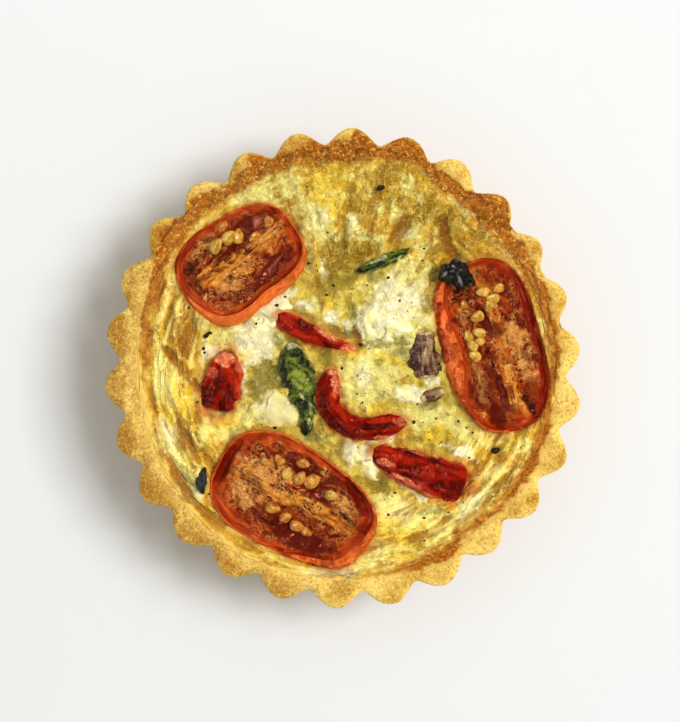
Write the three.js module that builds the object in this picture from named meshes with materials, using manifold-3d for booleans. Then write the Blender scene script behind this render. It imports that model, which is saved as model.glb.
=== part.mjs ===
// A small round quiche: a fluted shortcrust case filled with baked egg custard, with three
// roasted tomato halves, strips of red pepper, leaves, red onion and melted cheese sunk into its top.
// Millimetres, +Z up. The origin is the centre of the flat underside.
import * as THREE from "three";
import { mergeVertices } from "three/addons/utils/BufferGeometryUtils.js";
import Module from "manifold-3d";

const wasm = await Module();
wasm.setup();

const { degToRad, lerp, smoothstep, clamp } = THREE.MathUtils;

// ---------- driving dimensions ----------
const GAP = 0.3; // clearance between pieces that touch
const WELD = 1e-3; // vertices closer than this are one

const PASTRY = {
  flutes: 26,
  firstTipDeg: 4.8,
  rimTipRadius: 49.8,
  baseTipRadius: 44.4,
  fluteDepth: 3.3,
  valleyRounding: 0.28, // the smaller, the sharper the valleys between the flutes
  outOfRound: 0.55, // how far the rim wanders in and out around the case
  height: 22,
  rimCrown: 0.3,
  floorThickness: 3.2,
  rimInnerRadius: 42.9,
  floorInnerRadius: 38.6,
  stepsPerFlute: 6,
};

const FILLING = {
  middleLevel: 22.0,
  sunkEdgeLevel: 21.6,
  spiltEdgeLevel: 23.1,
  edgeRounding: 0.7,
  slack: 0.05, // extra room beside the case, over the gap
  around: 52,
  topRings: 8,
};

// Where the custard has baked over the rim: direction, half spread and how far out it reaches,
// which is short of the valleys between the flutes.
const SPILLS = [
  { deg: 80, spread: 24, reach: 46.2 },
  { deg: 108, spread: 16, reach: 45.9 },
  { deg: 134, spread: 15, reach: 45.4 },
  { deg: 47, spread: 9, reach: 46.2 },
  { deg: 28, spread: 11, reach: 45.0 },
];

// Broad swells and hollows of the custard's top: centre, half widths, turn and height.
const SWELLS = [
  { x: 11, y: 15, rx: 11, ry: 8, deg: -10, rise: 1.3 },
  { x: -1, y: 36, rx: 8, ry: 6, deg: 10, rise: 0.9 },
  { x: 21, y: 33, rx: 9, ry: 6, deg: -40, rise: 0.8 },
  { x: -34, y: -2, rx: 5, ry: 14, deg: 10, rise: 0.8 },
  { x: -22, y: -12, rx: 8, ry: 5, deg: 30, rise: 0.5 },
  { x: 7, y: -4, rx: 8, ry: 7, deg: 0, rise: 0.6 },
  { x: 19, y: -32, rx: 12, ry: 6, deg: 35, rise: 0.8 },
  { x: 31, y: -17, rx: 7, ry: 7, deg: 0, rise: 0.7 },
  { x: -11, y: -6, rx: 7, ry: 9, deg: 15, rise: -0.9 },
  { x: -4, y: 19, rx: 6, ry: 5, deg: 20, rise: -0.6 },
];

// ---------- small helpers ----------
const polar = (x, y) => ({ angle: Math.atan2(y, x), radius: Math.hypot(x, y) });

// How far (x, y) is from an ellipse's centre, in half widths.
function ellipseDistance(x, y, { x: cx, y: cy, rx, ry, deg }) {
  const turn = degToRad(deg);
  const along = (x - cx) * Math.cos(turn) + (y - cy) * Math.sin(turn);
  const across = (y - cy) * Math.cos(turn) - (x - cx) * Math.sin(turn);
  return Math.hypot(along / rx, across / ry);
}

// One indexed mesh with its seam, poles and edges joined, and nothing but positions.
function weld(geometry) {
  const bare = new THREE.BufferGeometry();
  bare.setAttribute("position", geometry.getAttribute("position"));
  bare.setIndex(geometry.index);
  const merged = mergeVertices(bare, WELD);
  const corners = [...merged.index.array];
  const kept = [];
  for (let i = 0; i < corners.length; i += 3) {
    const [a, b, c] = corners.slice(i, i + 3);
    if (a !== b && b !== c && c !== a) kept.push(a, b, c);
  }
  return merged.setIndex(kept);
}

// Moves every vertex to where place(point) puts it.
function reshape(geometry, place) {
  const position = geometry.getAttribute("position");
  const point = new THREE.Vector3();
  for (let i = 0; i < position.count; i += 1) {
    const moved = place(point.fromBufferAttribute(position, i));
    position.setXYZ(i, moved.x, moved.y, moved.z);
  }
  return geometry;
}

// The same closed mesh with its skin moved outwards.
function swollen(geometry, by) {
  const grown = geometry.clone();
  grown.computeVertexNormals();
  const position = grown.getAttribute("position");
  const normal = grown.getAttribute("normal");
  for (let i = 0; i < position.count; i += 1) {
    position.setXYZ(
      i,
      position.getX(i) + normal.getX(i) * by,
      position.getY(i) + normal.getY(i) * by,
      position.getZ(i) + normal.getZ(i) * by,
    );
  }
  return grown;
}

function solidOf(geometry) {
  const triVerts = new Uint32Array(geometry.index.array);
  const vertProperties = new Float32Array(geometry.getAttribute("position").array);
  return new wasm.Manifold(new wasm.Mesh({ numProp: 3, vertProperties, triVerts }));
}

function geometryOf(solid) {
  const { vertProperties, triVerts } = solid.getMesh();
  const geometry = new THREE.BufferGeometry();
  geometry.setAttribute("position", new THREE.BufferAttribute(vertProperties, 3));
  geometry.setIndex(new THREE.BufferAttribute(triVerts, 1));
  return geometry;
}

// A cut can leave loose scraps: only the largest piece is kept.
function largest(solid) {
  return solid.decompose().reduce((a, b) => (a.volume() > b.volume() ? a : b));
}

// A lathe profile of [radius, height] pairs spun about Z, then reshaped.
function spun(profile, segments, startDeg, place) {
  const points = profile.map(([r, z]) => new THREE.Vector2(r, z));
  const lathe = new THREE.LatheGeometry(points, segments, degToRad(startDeg + 90));
  return weld(reshape(lathe.rotateX(Math.PI / 2), place));
}

// ---------- pastry case ----------
// 1 at a flute's tip and 0 in the valley between two.
function fluteLobe(angle) {
  const wave = Math.cos((PASTRY.flutes / 2) * (angle - degToRad(PASTRY.firstTipDeg)));
  const soft = PASTRY.valleyRounding;
  return (Math.hypot(wave, soft) - soft) / (Math.hypot(1, soft) - soft);
}

function pastryOutside(angle, z) {
  const rise = z / PASTRY.height;
  const tip = lerp(PASTRY.baseTipRadius, PASTRY.rimTipRadius, rise);
  const wander = PASTRY.outOfRound * Math.cos(4 * (angle - degToRad(80))) * rise;
  return tip + wander - PASTRY.fluteDepth * (1 - fluteLobe(angle));
}

// The hand-pressed inside is nearly round, with the flutes only faintly printed through.
function pastryInside(angle, z) {
  const rise = (z - PASTRY.floorThickness) / (PASTRY.height - PASTRY.floorThickness);
  const radius = lerp(PASTRY.floorInnerRadius, PASTRY.rimInnerRadius, rise);
  const pressed = 0.3 * (fluteLobe(angle) - 0.5) + 0.5 * Math.sin(3 * angle + 0.9);
  return radius + pressed * clamp(rise, 0, 1);
}

// The rim's top rolls gently up and down around the case.
const rimTop = (angle) =>
  PASTRY.height + 0.25 * Math.sin(2 * angle + 0.6) + 0.15 * Math.sin(5 * angle);

function pastryGeometry() {
  const { height, floorThickness, rimCrown, flutes, stepsPerFlute } = PASTRY;
  // Radii are shares of the wall: 1 is its outside and 0 its inside, and axis points have none.
  const outline = [
    { share: null, z: 0 },
    { share: 1, z: 0, inset: 1.1 },
    { share: 1, z: 0.9 },
    { share: 1, z: height - 1.3 },
    { share: 1, z: height - 0.3, inset: 0.5 },
    { share: 0.5, z: height + rimCrown },
    { share: 0, z: height - 0.1, inset: -0.9 },
    { share: 0, z: height - 1.1 },
    { share: 0, z: floorThickness + 1.4 },
    { share: 0, z: floorThickness, inset: 1.4 },
    { share: null, z: floorThickness },
  ];
  const profile = outline.map((corner, index) => [corner.share === null ? 0 : 1 + index, corner.z]);
  const place = (point) => {
    const { angle, radius } = polar(point.x, point.y);
    if (radius < 0.5) return point;
    const corner = outline[Math.round(radius) - 1];
    const inside = pastryInside(angle, corner.z);
    const outside = pastryOutside(angle, corner.z);
    const reach = lerp(inside, outside, corner.share) - (corner.inset ?? 0);
    const lifted = corner.z > height - 2 ? rimTop(angle) - height : 0;
    return point.set(reach * Math.cos(angle), reach * Math.sin(angle), corner.z + lifted);
  };
  return spun(profile, flutes * stepsPerFlute, PASTRY.firstTipDeg, place);
}

// ---------- custard filling ----------
function angleBetween(angle, deg) {
  const turn = angle - degToRad(deg);
  return Math.abs(Math.atan2(Math.sin(turn), Math.cos(turn)));
}

// How much of a spill there is in a direction, from 0 to 1, and how far out it reaches.
function spillAt(angle) {
  let amount = 0;
  let reach = PASTRY.rimInnerRadius;
  for (const { deg, spread, reach: furthest } of SPILLS) {
    const off = angleBetween(angle, deg) / degToRad(spread);
    const here = 1 - smoothstep(off, 0.45, 1.2);
    amount = Math.max(amount, here);
    reach = Math.max(reach, lerp(PASTRY.rimInnerRadius, furthest, here));
  }
  return { amount, reach };
}

const snugRadius = (angle, z) => pastryInside(angle, z) - GAP - FILLING.slack;

function fillingRadius(angle) {
  const { amount, reach } = spillAt(angle);
  const snug = snugRadius(angle, PASTRY.height - 2.8);
  return lerp(snug, reach, smoothstep(amount, 0.4, 1));
}

// Small ripples of the baked skin.
const ripple = (x, y) =>
  0.2 * Math.sin(0.55 * x - 0.31 * y + 2.1) +
  0.16 * Math.sin(0.42 * y + 0.23 * x + 0.7) +
  0.12 * Math.sin(0.83 * y - 0.36 * x);

function fillingTop(x, y) {
  const { angle, radius } = polar(x, y);
  const raised = smoothstep(spillAt(angle).amount, 0, 0.4);
  const edge = lerp(FILLING.sunkEdgeLevel, FILLING.spiltEdgeLevel, raised);
  const outward = smoothstep(radius, 30, PASTRY.rimInnerRadius);
  let level = lerp(FILLING.middleLevel, edge + rimTop(angle) - PASTRY.height, outward);
  for (const swell of SWELLS) {
    level += swell.rise * Math.exp(-(ellipseDistance(x, y, swell) ** 2)) * (1 - 0.7 * outward);
  }
  return level + ripple(x, y) * (1 - 0.6 * outward);
}

// Inside the case the walls follow its pastry; where the custard has spilt it leans out
// over the rim.
function fillingGeometry() {
  const { around, topRings, edgeRounding } = FILLING;
  const floorLevel = PASTRY.floorThickness + GAP + FILLING.slack;
  const belowTop = 4;
  const rows = belowTop + topRings;
  const profile = [...Array(rows + 1).keys()].map((row) => [row === rows ? 0 : row + 1, row]);
  profile.unshift([0, -1]);
  const place = (point) => {
    const { angle } = polar(point.x, point.y);
    const row = Math.round(point.z);
    if (row === -1) return point.set(0, 0, floorLevel);
    if (row === rows) return point.set(0, 0, fillingTop(0, 0));
    const rim = fillingRadius(angle);
    const edgeLevel = fillingTop(rim * Math.cos(angle), rim * Math.sin(angle));
    const raised = smoothstep(spillAt(angle).amount, 0, 0.4);
    const overRim = rimTop(angle) + PASTRY.rimCrown + GAP + FILLING.slack;
    const underLip = lerp(edgeLevel - 1.2, overRim, raised);
    const walls = [
      { radius: snugRadius(angle, PASTRY.floorThickness) - 1.6, z: floorLevel },
      { radius: snugRadius(angle, PASTRY.height - 2.8), z: underLip - 0.03 - 0.3 * (1 - raised) },
      { radius: rim, z: underLip },
      { radius: rim - edgeRounding * 0.4, z: edgeLevel - 0.25 },
    ];
    const inward = (row - belowTop + 1) / (topRings + 1);
    const reach = row < belowTop ? walls[row].radius : rim * (1 - inward ** 1.15);
    const x = reach * Math.cos(angle);
    const y = reach * Math.sin(angle);
    return point.set(x, y, row < belowTop ? walls[row].z : fillingTop(x, y));
  };
  return spun(profile, around, PASTRY.firstTipDeg, place);
}

// ---------- shapes of the toppings ----------
// A curve through [x, y, lift] points: lift is a point's height over the custard.
function routeOver(path) {
  const points = path.map(([x, y, lift]) => new THREE.Vector3(x, y, fillingTop(x, y) + lift));
  return new THREE.CatmullRomCurve3(points);
}

// A value from a list spread evenly over 0 to 1.
function along01(values, share) {
  const spot = share * (values.length - 1);
  const first = Math.min(Math.floor(spot), values.length - 2);
  return lerp(values[first], values[first + 1], spot - first);
}

// A rod along a path. It runs from pole to pole of a sphere, so its two ends are closed and round.
function rod({ path, halfWidth, halfHeight, bluntness = 0.5, around = 10, along = 12, wave = 0 }) {
  const route = routeOver(path);
  const place = (point) => {
    const fromPole = Math.acos(clamp(point.y, -1, 1)) / Math.PI;
    const turn = Math.atan2(point.z, point.x);
    const share = (1 - Math.cos(Math.PI * fromPole)) / 2;
    const swell = Math.sin(Math.PI * fromPole) ** bluntness;
    const centre = route.getPointAt(share);
    const forward = route.getTangentAt(share);
    const side = new THREE.Vector3(-forward.y, forward.x, 0).normalize();
    const width = along01(halfWidth, share);
    const ridge = 1 + wave * Math.sin(5 * turn + 9 * share);
    return centre
      .addScaledVector(side, width * swell * ridge * Math.cos(turn))
      .add(new THREE.Vector3(0, 0, halfHeight * Math.min(swell, 1) * ridge * Math.sin(turn)));
  };
  return weld(reshape(new THREE.SphereGeometry(1, around, along), (p) => place(p.clone())));
}

// A leaf: a thin wavy sheet whose two faces are split into triangles alike.
function leaf({ path, halfWidth, thickness, curl, crinkle, columns = 8, rows = 4 }) {
  const route = routeOver(path);
  const face = new THREE.PlaneGeometry(1, 1, columns, rows);
  const uv = face.getAttribute("uv");
  const count = uv.count;
  const points = [];
  for (const side of [1, -1]) {
    for (let i = 0; i < count; i += 1) {
      const share = uv.getX(i);
      const across = uv.getY(i) * 2 - 1;
      const centre = route.getPointAt(share);
      const forward = route.getTangentAt(share);
      const sideways = new THREE.Vector3(-forward.y, forward.x, 0).normalize();
      const width = along01(halfWidth, share);
      const bend = curl * across * across + crinkle * Math.sin(11 * share + 2.4 * across);
      centre.addScaledVector(sideways, across * width);
      points.push(centre.x, centre.y, centre.z + bend + (side * thickness) / 2);
    }
  }
  const top = [...face.index.array];
  const corners = [...top];
  for (let i = 0; i < top.length; i += 3) {
    corners.push(top[i] + count, top[i + 2] + count, top[i + 1] + count);
  }
  const wide = columns + 1;
  const border = [];
  for (let i = 0; i < columns; i += 1) border.push(i);
  for (let j = 0; j < rows; j += 1) border.push(j * wide + columns);
  for (let i = columns; i > 0; i -= 1) border.push(rows * wide + i);
  for (let j = rows; j > 0; j -= 1) border.push(j * wide);
  border.forEach((a, i) => {
    const b = border[(i + 1) % border.length];
    corners.push(a, b, a + count, b, b + count, a + count);
  });
  const sheet = new THREE.BufferGeometry();
  sheet.setAttribute("position", new THREE.Float32BufferAttribute(points, 3));
  return weld(sheet.setIndex(corners));
}

// A melted lump of cheese: a flattened ball with a lumpy outline, mostly sunk in.
function lump({ x, y, rx, ry, deg, rise, phase }) {
  const turn = degToRad(deg);
  const sunk = 2.2;
  const place = (point) => {
    const angle = Math.atan2(point.z, point.x);
    const uneven = 1 + 0.1 * Math.sin(3 * angle + phase) + 0.06 * Math.sin(5 * angle + 2 * phase);
    const along = point.x * rx * uneven;
    const across = point.z * ry * uneven;
    const spotX = x + along * Math.cos(turn) + across * Math.sin(turn);
    const spotY = y + along * Math.sin(turn) - across * Math.cos(turn);
    const level = fillingTop(spotX, spotY);
    const height = point.y > 0 ? rise * point.y : sunk * point.y;
    return point.set(spotX, spotY, level + height - 0.15);
  };
  return weld(reshape(new THREE.SphereGeometry(1, 12, 6), place));
}

const SEED = { halfLength: 1.6, halfWidth: 1.15, halfHeight: 0.75 };

// How far a tomato's cut face lies below its rim, at u half lengths along and v half widths
// across: a core runs down the middle with a seed hollow on each side.
function cutFace(u, v, coreShift) {
  const across = v - coreShift;
  const core = 0.9 * Math.exp(-((across / 0.2) ** 2));
  const hollow = 0.6 * Math.exp(-(((Math.abs(across) - 0.48) / 0.2) ** 2));
  return core - hollow * (1 - u * u) - 1.1;
}

// A roasted tomato half, cut face up, in its own frame: X along the fruit, the rim at z = 0.
function tomatoFace({ halfLength, halfWidth, depth, coreShift }) {
  const outline = [
    [0, -1],
    [0.42, -0.9],
    [0.72, -0.66],
    [0.92, -0.34],
    [1, 0],
    [0.965, 0.1],
    [0.88, 0.06],
    [0.8, 0],
    [0.6, 0],
    [0.35, 0],
    [0, 0],
  ];
  const place = (point) => {
    const { angle, radius } = polar(point.x, point.y);
    const squareness = 1 - 0.05 * Math.cos(4 * angle);
    const pointed = 1 - 0.05 * Math.cos(angle) + 0.03 * Math.cos(3 * angle + 0.5);
    const u = radius * squareness * Math.cos(angle);
    const v = radius * squareness * pointed * Math.sin(angle);
    const onFace = point.z > -0.1 && radius < 0.85;
    const height = onFace ? cutFace(u, v, coreShift) : point.z * depth;
    return point.set(u * halfLength, v * halfWidth, height);
  };
  return spun(outline, 24, 0, place);
}

// A seed half sunk in the face, its place given along and across the fruit in millimetres.
function seedGeometry([along, across], { halfLength, halfWidth, coreShift }, index) {
  const height = cutFace(along / halfLength, across / halfWidth, coreShift) + 0.2;
  const seed = new THREE.SphereGeometry(1, 6, 3).rotateX(Math.PI / 2);
  seed.scale(SEED.halfLength, SEED.halfWidth, SEED.halfHeight);
  seed.rotateZ(2.4 * index);
  return weld(seed.translate(along, across, height));
}

// ---------- placing the toppings ----------
const TOMATOES = [
  {
    name: "tomato_half_rear_left",
    x: -21.5,
    y: 21.9,
    deg: 35,
    halfLength: 14.3,
    halfWidth: 10.9,
    depth: 6.5,
    coreShift: 0.08,
    lift: 1.9,
    lean: { deg: 9, towards: 135 },
    seeds: [[-2.3, 6.0], [0.9, 5.9], [2.9, 4.8], [9.3, 3.4], [5.6, 3.1]],
  },
  {
    name: "tomato_half_right",
    x: 31.0,
    y: 4.6,
    deg: 105.5,
    halfLength: 19.2,
    halfWidth: 11.0,
    depth: 7,
    coreShift: -0.08,
    lift: 1.7,
    lean: { deg: 7, towards: 15 },
    seeds: [
      [11.4, -0.6], [10.6, -4.2], [9.0, -2.1], [7.7, -0.9], [6.7, 1.7], [3.2, 4.5], [3.0, 2.3],
      [-0.6, 4.7],
    ],
  },
  {
    name: "tomato_half_front_left",
    x: -10.4,
    y: -27.9,
    deg: -31,
    halfLength: 18.9,
    halfWidth: 11.8,
    depth: 7,
    coreShift: 0.05,
    lift: 1.7,
    lean: { deg: 6, towards: 240 },
    seeds: [
      [-9.4, 4.2], [-4.4, 4.7], [-2.6, 8.0], [-0.6, 5.4], [1.8, 6.0], [5.8, 5.3], [-3.2, -3.3],
      [0.3, -3.4], [3.6, -3.9],
    ],
  },
];

// The tomato's own frame set down on the custard, leaning towards a direction.
function tomatoPlace({ x, y, deg, lift, lean }) {
  const towards = degToRad(lean.towards);
  const hinge = new THREE.Vector3(-Math.sin(towards), Math.cos(towards), 0);
  const tip = new THREE.Quaternion().setFromAxisAngle(hinge, degToRad(lean.deg));
  const turn = new THREE.Quaternion().setFromAxisAngle(new THREE.Vector3(0, 0, 1), degToRad(deg));
  const at = new THREE.Vector3(x, y, FILLING.middleLevel + lift);
  return new THREE.Matrix4().compose(at, tip.multiply(turn), new THREE.Vector3(1, 1, 1));
}

function tomatoHalf(spec) {
  const matrix = tomatoPlace(spec);
  const body = tomatoFace(spec).applyMatrix4(matrix);
  let solid = solidOf(body);
  spec.seeds.forEach((spot, index) => {
    const seed = seedGeometry(spot, spec, index).applyMatrix4(matrix);
    solid = solid.add(solidOf(seed));
  });
  return { body, solid: largest(solid) };
}

const PEPPERS = [
  {
    name: "pepper_strip_rear",
    path: [[-14.0, 10.9, 0.3], [-10.2, 8.8, 0.6], [-6.4, 6.8, 0.5], [-2.4, 5.3, 0.1], [2.6, 3.8, -0.3]],
    halfWidth: [1.7, 1.8, 1.7, 1.3, 0.9],
    bluntness: 0.35,
    halfHeight: 1.2,
  },
  {
    name: "pepper_strip_curved",
    path: [
      [-2.2, 0, 0], [-3.3, -4.4, 0.6], [-2.7, -8.5, 0.8], [0.6, -11.7, 0.7], [5.4, -12.7, 0.6],
      [9.6, -11.7, 0.5], [13.2, -11.2, 0],
    ],
    halfWidth: [1.9, 2.5, 2.5, 2.5, 2.5, 2.5, 1.6],
    halfHeight: 1.7,
    bluntness: 0.4,
    along: 16,
  },
  {
    name: "pepper_piece_right",
    path: [[5.8, -17.2, 0.1], [11.5, -20.0, 0.5], [18.0, -22.3, 0.7], [25.4, -24.5, 0.4]],
    halfWidth: [2.0, 3.1, 4.0, 4.4],
    halfHeight: 1.5,
    bluntness: 0.25,
    wave: 0.06,
  },
  {
    name: "pepper_piece_left",
    path: [[-24.2, 3.4, 0], [-24.6, 0, 0.5], [-25.6, -4.0, 0.5], [-26.9, -8.9, 0]],
    halfWidth: [1.9, 3.3, 4.0, 3.7],
    halfHeight: 1.5,
    bluntness: 0.25,
    wave: 0.06,
  },
];

const LEAVES = [
  {
    name: "leaf_rear",
    path: [[2.6, 19.9, 0.3], [8.5, 22.0, 0.5], [14.6, 24.6, 0.3]],
    halfWidth: [0.6, 1.3, 1.2, 0.5],
    thickness: 0.7,
    curl: 0.5,
    crinkle: 0.12,
    rows: 2,
  },
  {
    name: "leaf_centre",
    path: [
      [-12.2, 5.6, 0.2], [-10.8, 0.8, 0.9], [-9.0, -4.0, 1.0], [-7.6, -9.0, 0.6],
      [-7.4, -14.0, 0.3],
    ],
    halfWidth: [1.6, 4.2, 4.4, 2.4, 1.4],
    thickness: 0.8,
    curl: 0.5,
    crinkle: 0.35,
    columns: 11,
  },
  {
    name: "leaf_charred_right",
    finish: "charred",
    path: [[19.2, 18.4, 2.4], [23.0, 19.6, 3.3], [27.2, 17.2, 2.6]],
    halfWidth: [0.8, 2.9, 2.7, 0.9],
    thickness: 0.9,
    curl: -0.6,
    crinkle: 0.3,
    columns: 8,
    rows: 3,
  },
  {
    name: "leaf_charred_left",
    finish: "charred",
    path: [[-28.8, -20.6, 0.4], [-29.7, -23.4, 0.6], [-29.2, -26.2, 0.3]],
    halfWidth: [0.5, 1.2, 1.1, 0.5],
    thickness: 0.7,
    curl: 0.3,
    crinkle: 0.15,
    columns: 6,
    rows: 2,
  },
];

const ONIONS = [
  {
    name: "onion_piece_large",
    path: [[15.4, 7.4, 0.2], [16.3, 2.8, 0.7], [17.8, -1.8, 0.2]],
    halfWidth: [2.6, 3.2, 2.8],
    halfHeight: 1.4,
    bluntness: 0.3,
    wave: 0.08,
    along: 9,
  },
  {
    name: "onion_piece_small",
    path: [[16.0, -6.4, 0], [18.4, -5.7, 0.4], [20.8, -4.6, 0]],
    halfWidth: [0.9, 1.3, 0.9],
    halfHeight: 1.0,
    around: 8,
    along: 7,
  },
];

const CHEESES = [
  { name: "cheese_rear", x: 8.2, y: 8.8, rx: 7.8, ry: 4.3, deg: -14, rise: 1.4, phase: 0.4 },
  { name: "cheese_left", x: -15.6, y: 10.6, rx: 6.6, ry: 3.6, deg: 38, rise: 1.0, phase: 2.2 },
  { name: "cheese_middle", x: -13.4, y: -8.8, rx: 5.4, ry: 4.8, deg: -30, rise: 1.1, phase: 1.1 },
  { name: "cheese_front", x: 3.9, y: -19.2, rx: 5.2, ry: 3.0, deg: -36, rise: 1.0, phase: 3.0 },
  { name: "cheese_right", x: 12.6, y: -5.3, rx: 4.2, ry: 2.3, deg: 0, rise: 0.8, phase: 4.0 },
];

// Flakes of cracked black pepper on the custard: the largest, then smaller ones strewn about.
const FLAKES = [
  { x: 7.7, y: 37.5, size: 1.0 },
  { x: 31.9, y: -17.3, size: 0.9 },
  { x: -27.6, y: 6.8, size: 0.9 },
];
const STREWN = { count: 9, size: 0.55, reach: 38, seed: 41 };

function flake({ x, y, size }) {
  const grain = new THREE.SphereGeometry(size, 5, 3).scale(1, 0.75, 0.6).rotateZ(x + y);
  return solidOf(weld(grain.translate(x, y, fillingTop(x, y) + size * 0.2)));
}

// Flakes at seeded places that keep clear of what already lies on the custard.
function strewnFlakes(occupied) {
  let state = STREWN.seed;
  const draw = () => {
    state = (state * 48271) % 2147483647;
    return state / 2147483647;
  };
  const kept = [];
  while (kept.length < STREWN.count) {
    const radius = STREWN.reach * Math.sqrt(draw());
    const angle = 2 * Math.PI * draw();
    const at = { x: radius * Math.cos(angle), y: radius * Math.sin(angle), size: STREWN.size };
    const grain = flake(at);
    if (grain.intersect(occupied).volume() < 1e-6) kept.push(grain);
  }
  return kept;
}

// ---------- fitting the pieces to each other ----------
// Each topping is cut clear of those before it in this order, and the custard of them all.
const toppings = [
  ...TOMATOES.map((spec) => ({ name: spec.name, ...tomatoHalf(spec) })),
  ...PEPPERS.map((spec) => ({ name: spec.name, body: rod(spec) })),
  ...LEAVES.map((spec) => ({ name: spec.name, body: leaf(spec) })),
  ...ONIONS.map((spec) => ({ name: spec.name, body: rod(spec) })),
  ...CHEESES.map((spec) => ({ name: spec.name, body: lump(spec) })),
];

const pastry = pastryGeometry();
const solids = new Map([["pastry_case", solidOf(pastry)]]);
let taken = solidOf(swollen(pastry, GAP));
for (const { name, body, solid = solidOf(body) } of toppings) {
  solids.set(name, largest(solid.subtract(taken)));
  taken = taken.add(solidOf(swollen(body, GAP)));
}

let custard = solidOf(fillingGeometry());
for (const grain of [...FLAKES.map(flake), ...strewnFlakes(taken)]) custard = custard.add(grain);
solids.set("filling", largest(custard.subtract(taken)));

// ---------- scene graph ----------
const FINISHES = {
  pastry: { color: 0xe3ba68, roughness: 0.75 },
  custard: { color: 0xe6c976, roughness: 0.55 },
  tomato: { color: 0xb4481c, roughness: 0.3 },
  pepper: { color: 0x9c1408, roughness: 0.25 },
  leaf: { color: 0x4c5a1e, roughness: 0.5 },
  charred: { color: 0x241c14, roughness: 0.4 },
  onion: { color: 0x7d5648, roughness: 0.45 },
  cheese: { color: 0xf1ead0, roughness: 0.45 },
};

// A mesh that sits at its own middle, inside the group for its kind.
function piece(name, finish) {
  const geometry = geometryOf(solids.get(name));
  geometry.computeBoundingBox();
  const middle = geometry.boundingBox.getCenter(new THREE.Vector3());
  geometry.translate(-middle.x, -middle.y, -middle.z);
  const material = new THREE.MeshStandardMaterial({ ...FINISHES[finish], metalness: 0 });
  const mesh = new THREE.Mesh(geometry, material);
  mesh.name = name;
  mesh.position.copy(middle);
  return mesh;
}

// One group for a kind of topping; a spec may name another finish than its kind's.
function groupOf(specs, kind) {
  const group = new THREE.Group();
  for (const { name, finish = kind } of specs) group.add(piece(name, finish));
  return group;
}

const quiche = new THREE.Group();
quiche.add(
  piece("pastry_case", "pastry"),
  piece("filling", "custard"),
  groupOf(TOMATOES, "tomato"),
  groupOf(PEPPERS, "pepper"),
  groupOf(LEAVES, "leaf"),
  groupOf(ONIONS, "onion"),
  groupOf(CHEESES, "cheese"),
);

export default quiche;
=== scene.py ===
import math
from math import cos, pi, radians, sin

import bpy
import numpy as np
from mathutils import Matrix, Quaternion, Vector


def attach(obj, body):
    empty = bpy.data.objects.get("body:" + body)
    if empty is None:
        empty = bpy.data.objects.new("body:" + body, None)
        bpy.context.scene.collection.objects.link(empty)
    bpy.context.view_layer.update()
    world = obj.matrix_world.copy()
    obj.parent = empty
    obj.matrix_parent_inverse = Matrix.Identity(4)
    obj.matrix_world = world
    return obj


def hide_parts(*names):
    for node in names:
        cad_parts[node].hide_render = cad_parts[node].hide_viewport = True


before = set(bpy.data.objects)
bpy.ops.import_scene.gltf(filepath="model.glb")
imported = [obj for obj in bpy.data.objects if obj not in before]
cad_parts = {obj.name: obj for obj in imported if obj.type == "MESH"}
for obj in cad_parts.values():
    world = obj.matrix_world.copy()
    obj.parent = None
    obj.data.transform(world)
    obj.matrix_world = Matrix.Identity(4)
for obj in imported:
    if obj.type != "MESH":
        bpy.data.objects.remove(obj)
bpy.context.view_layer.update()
print("frame loaded:", len(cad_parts), "solids")

millimetre = 0.001  # every shape below is worked out in millimetres
ringRadius = 36.0  # sizes along a ring of the custard hold at this radius


# numbers: ramps, noise and distances

def blend(a, b, share):
    return a + (b - a) * share


def ramp(value, start, end):
    # eased step from 0 at start to 1 at end
    share = np.clip((value - start) / (end - start), 0, 1)
    return share * share * (3 - 2 * share)


def latticeNoise(x, y, seed, period=512):
    # smooth noise from random slopes on a square lattice, about -1 to 1; it repeats along x after one period
    slope = np.random.default_rng(seed).uniform(0, 2 * np.pi, (512, 256))
    x0, y0 = np.floor(x).astype(int), np.floor(y).astype(int)
    fx, fy = x - x0, y - y0

    def corner(dx, dy):
        turn = slope[(x0 + dx) % period, (y0 + dy) % 256]
        return np.cos(turn) * (fx - dx) + np.sin(turn) * (fy - dy)

    ex, ey = [f ** 3 * (f * (f * 6 - 15) + 10) for f in (fx, fy)]
    low, high = [blend(corner(0, dy), corner(1, dy), ex) for dy in (0, 1)]
    return 1.5 * blend(low, high, ey)


def cloud(x, y, size, seed, layers=4, fade=0.55):
    # several layers of noise, the largest with features of about this size
    total, weight, strength = 0, 0, 1
    for layer in range(layers):
        step = 2 ** layer / size
        total += strength * latticeNoise(x * step + 17.3 * layer, y * step - 9.1 * layer, seed + layer)
        weight += strength
        strength *= fade
    return total / weight * 1.6


def ridged(noises):
    # 1 along thin winding ridges and 0 between them, each layer at half the strength of the one before
    total = sum(np.clip(1 - np.abs(noise) * 1.9, 0, 1) ** 2 / 2 ** i for i, noise in enumerate(noises))
    return total / (2 - 2 / 2 ** len(noises))


def creases(x, y, size, seed, layers=3):
    steps = [2 ** i / size for i in range(layers)]
    return ridged([latticeNoise(x * step + 5.7 * i, y * step + 3.3 * i, seed + i) for i, step in enumerate(steps)])


def turnedBy(dx, dy, turn):
    # a place measured along a direction and across it
    return dx * cos(turn) + dy * sin(turn), dy * cos(turn) - dx * sin(turn)


def ellipseDistance(x, y, cx, cy, rx, ry, degrees):
    along, across = turnedBy(x - cx, y - cy, radians(degrees))
    return np.hypot(along / rx, across / ry)


def ellipseMask(rows, x, y, ragged, inner, outer):
    # how much a place lies in any of the ellipses: x, y, half widths, turn and, unless it is 1, the strength
    result = np.zeros(np.shape(x))
    for cx, cy, rx, ry, degrees, *strength in rows:
        inside = 1 - ramp(ellipseDistance(x, y, cx, cy, rx, ry, degrees) + ragged, inner, outer)
        result = np.maximum(result, math.prod(strength) * inside)
    return result


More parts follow.
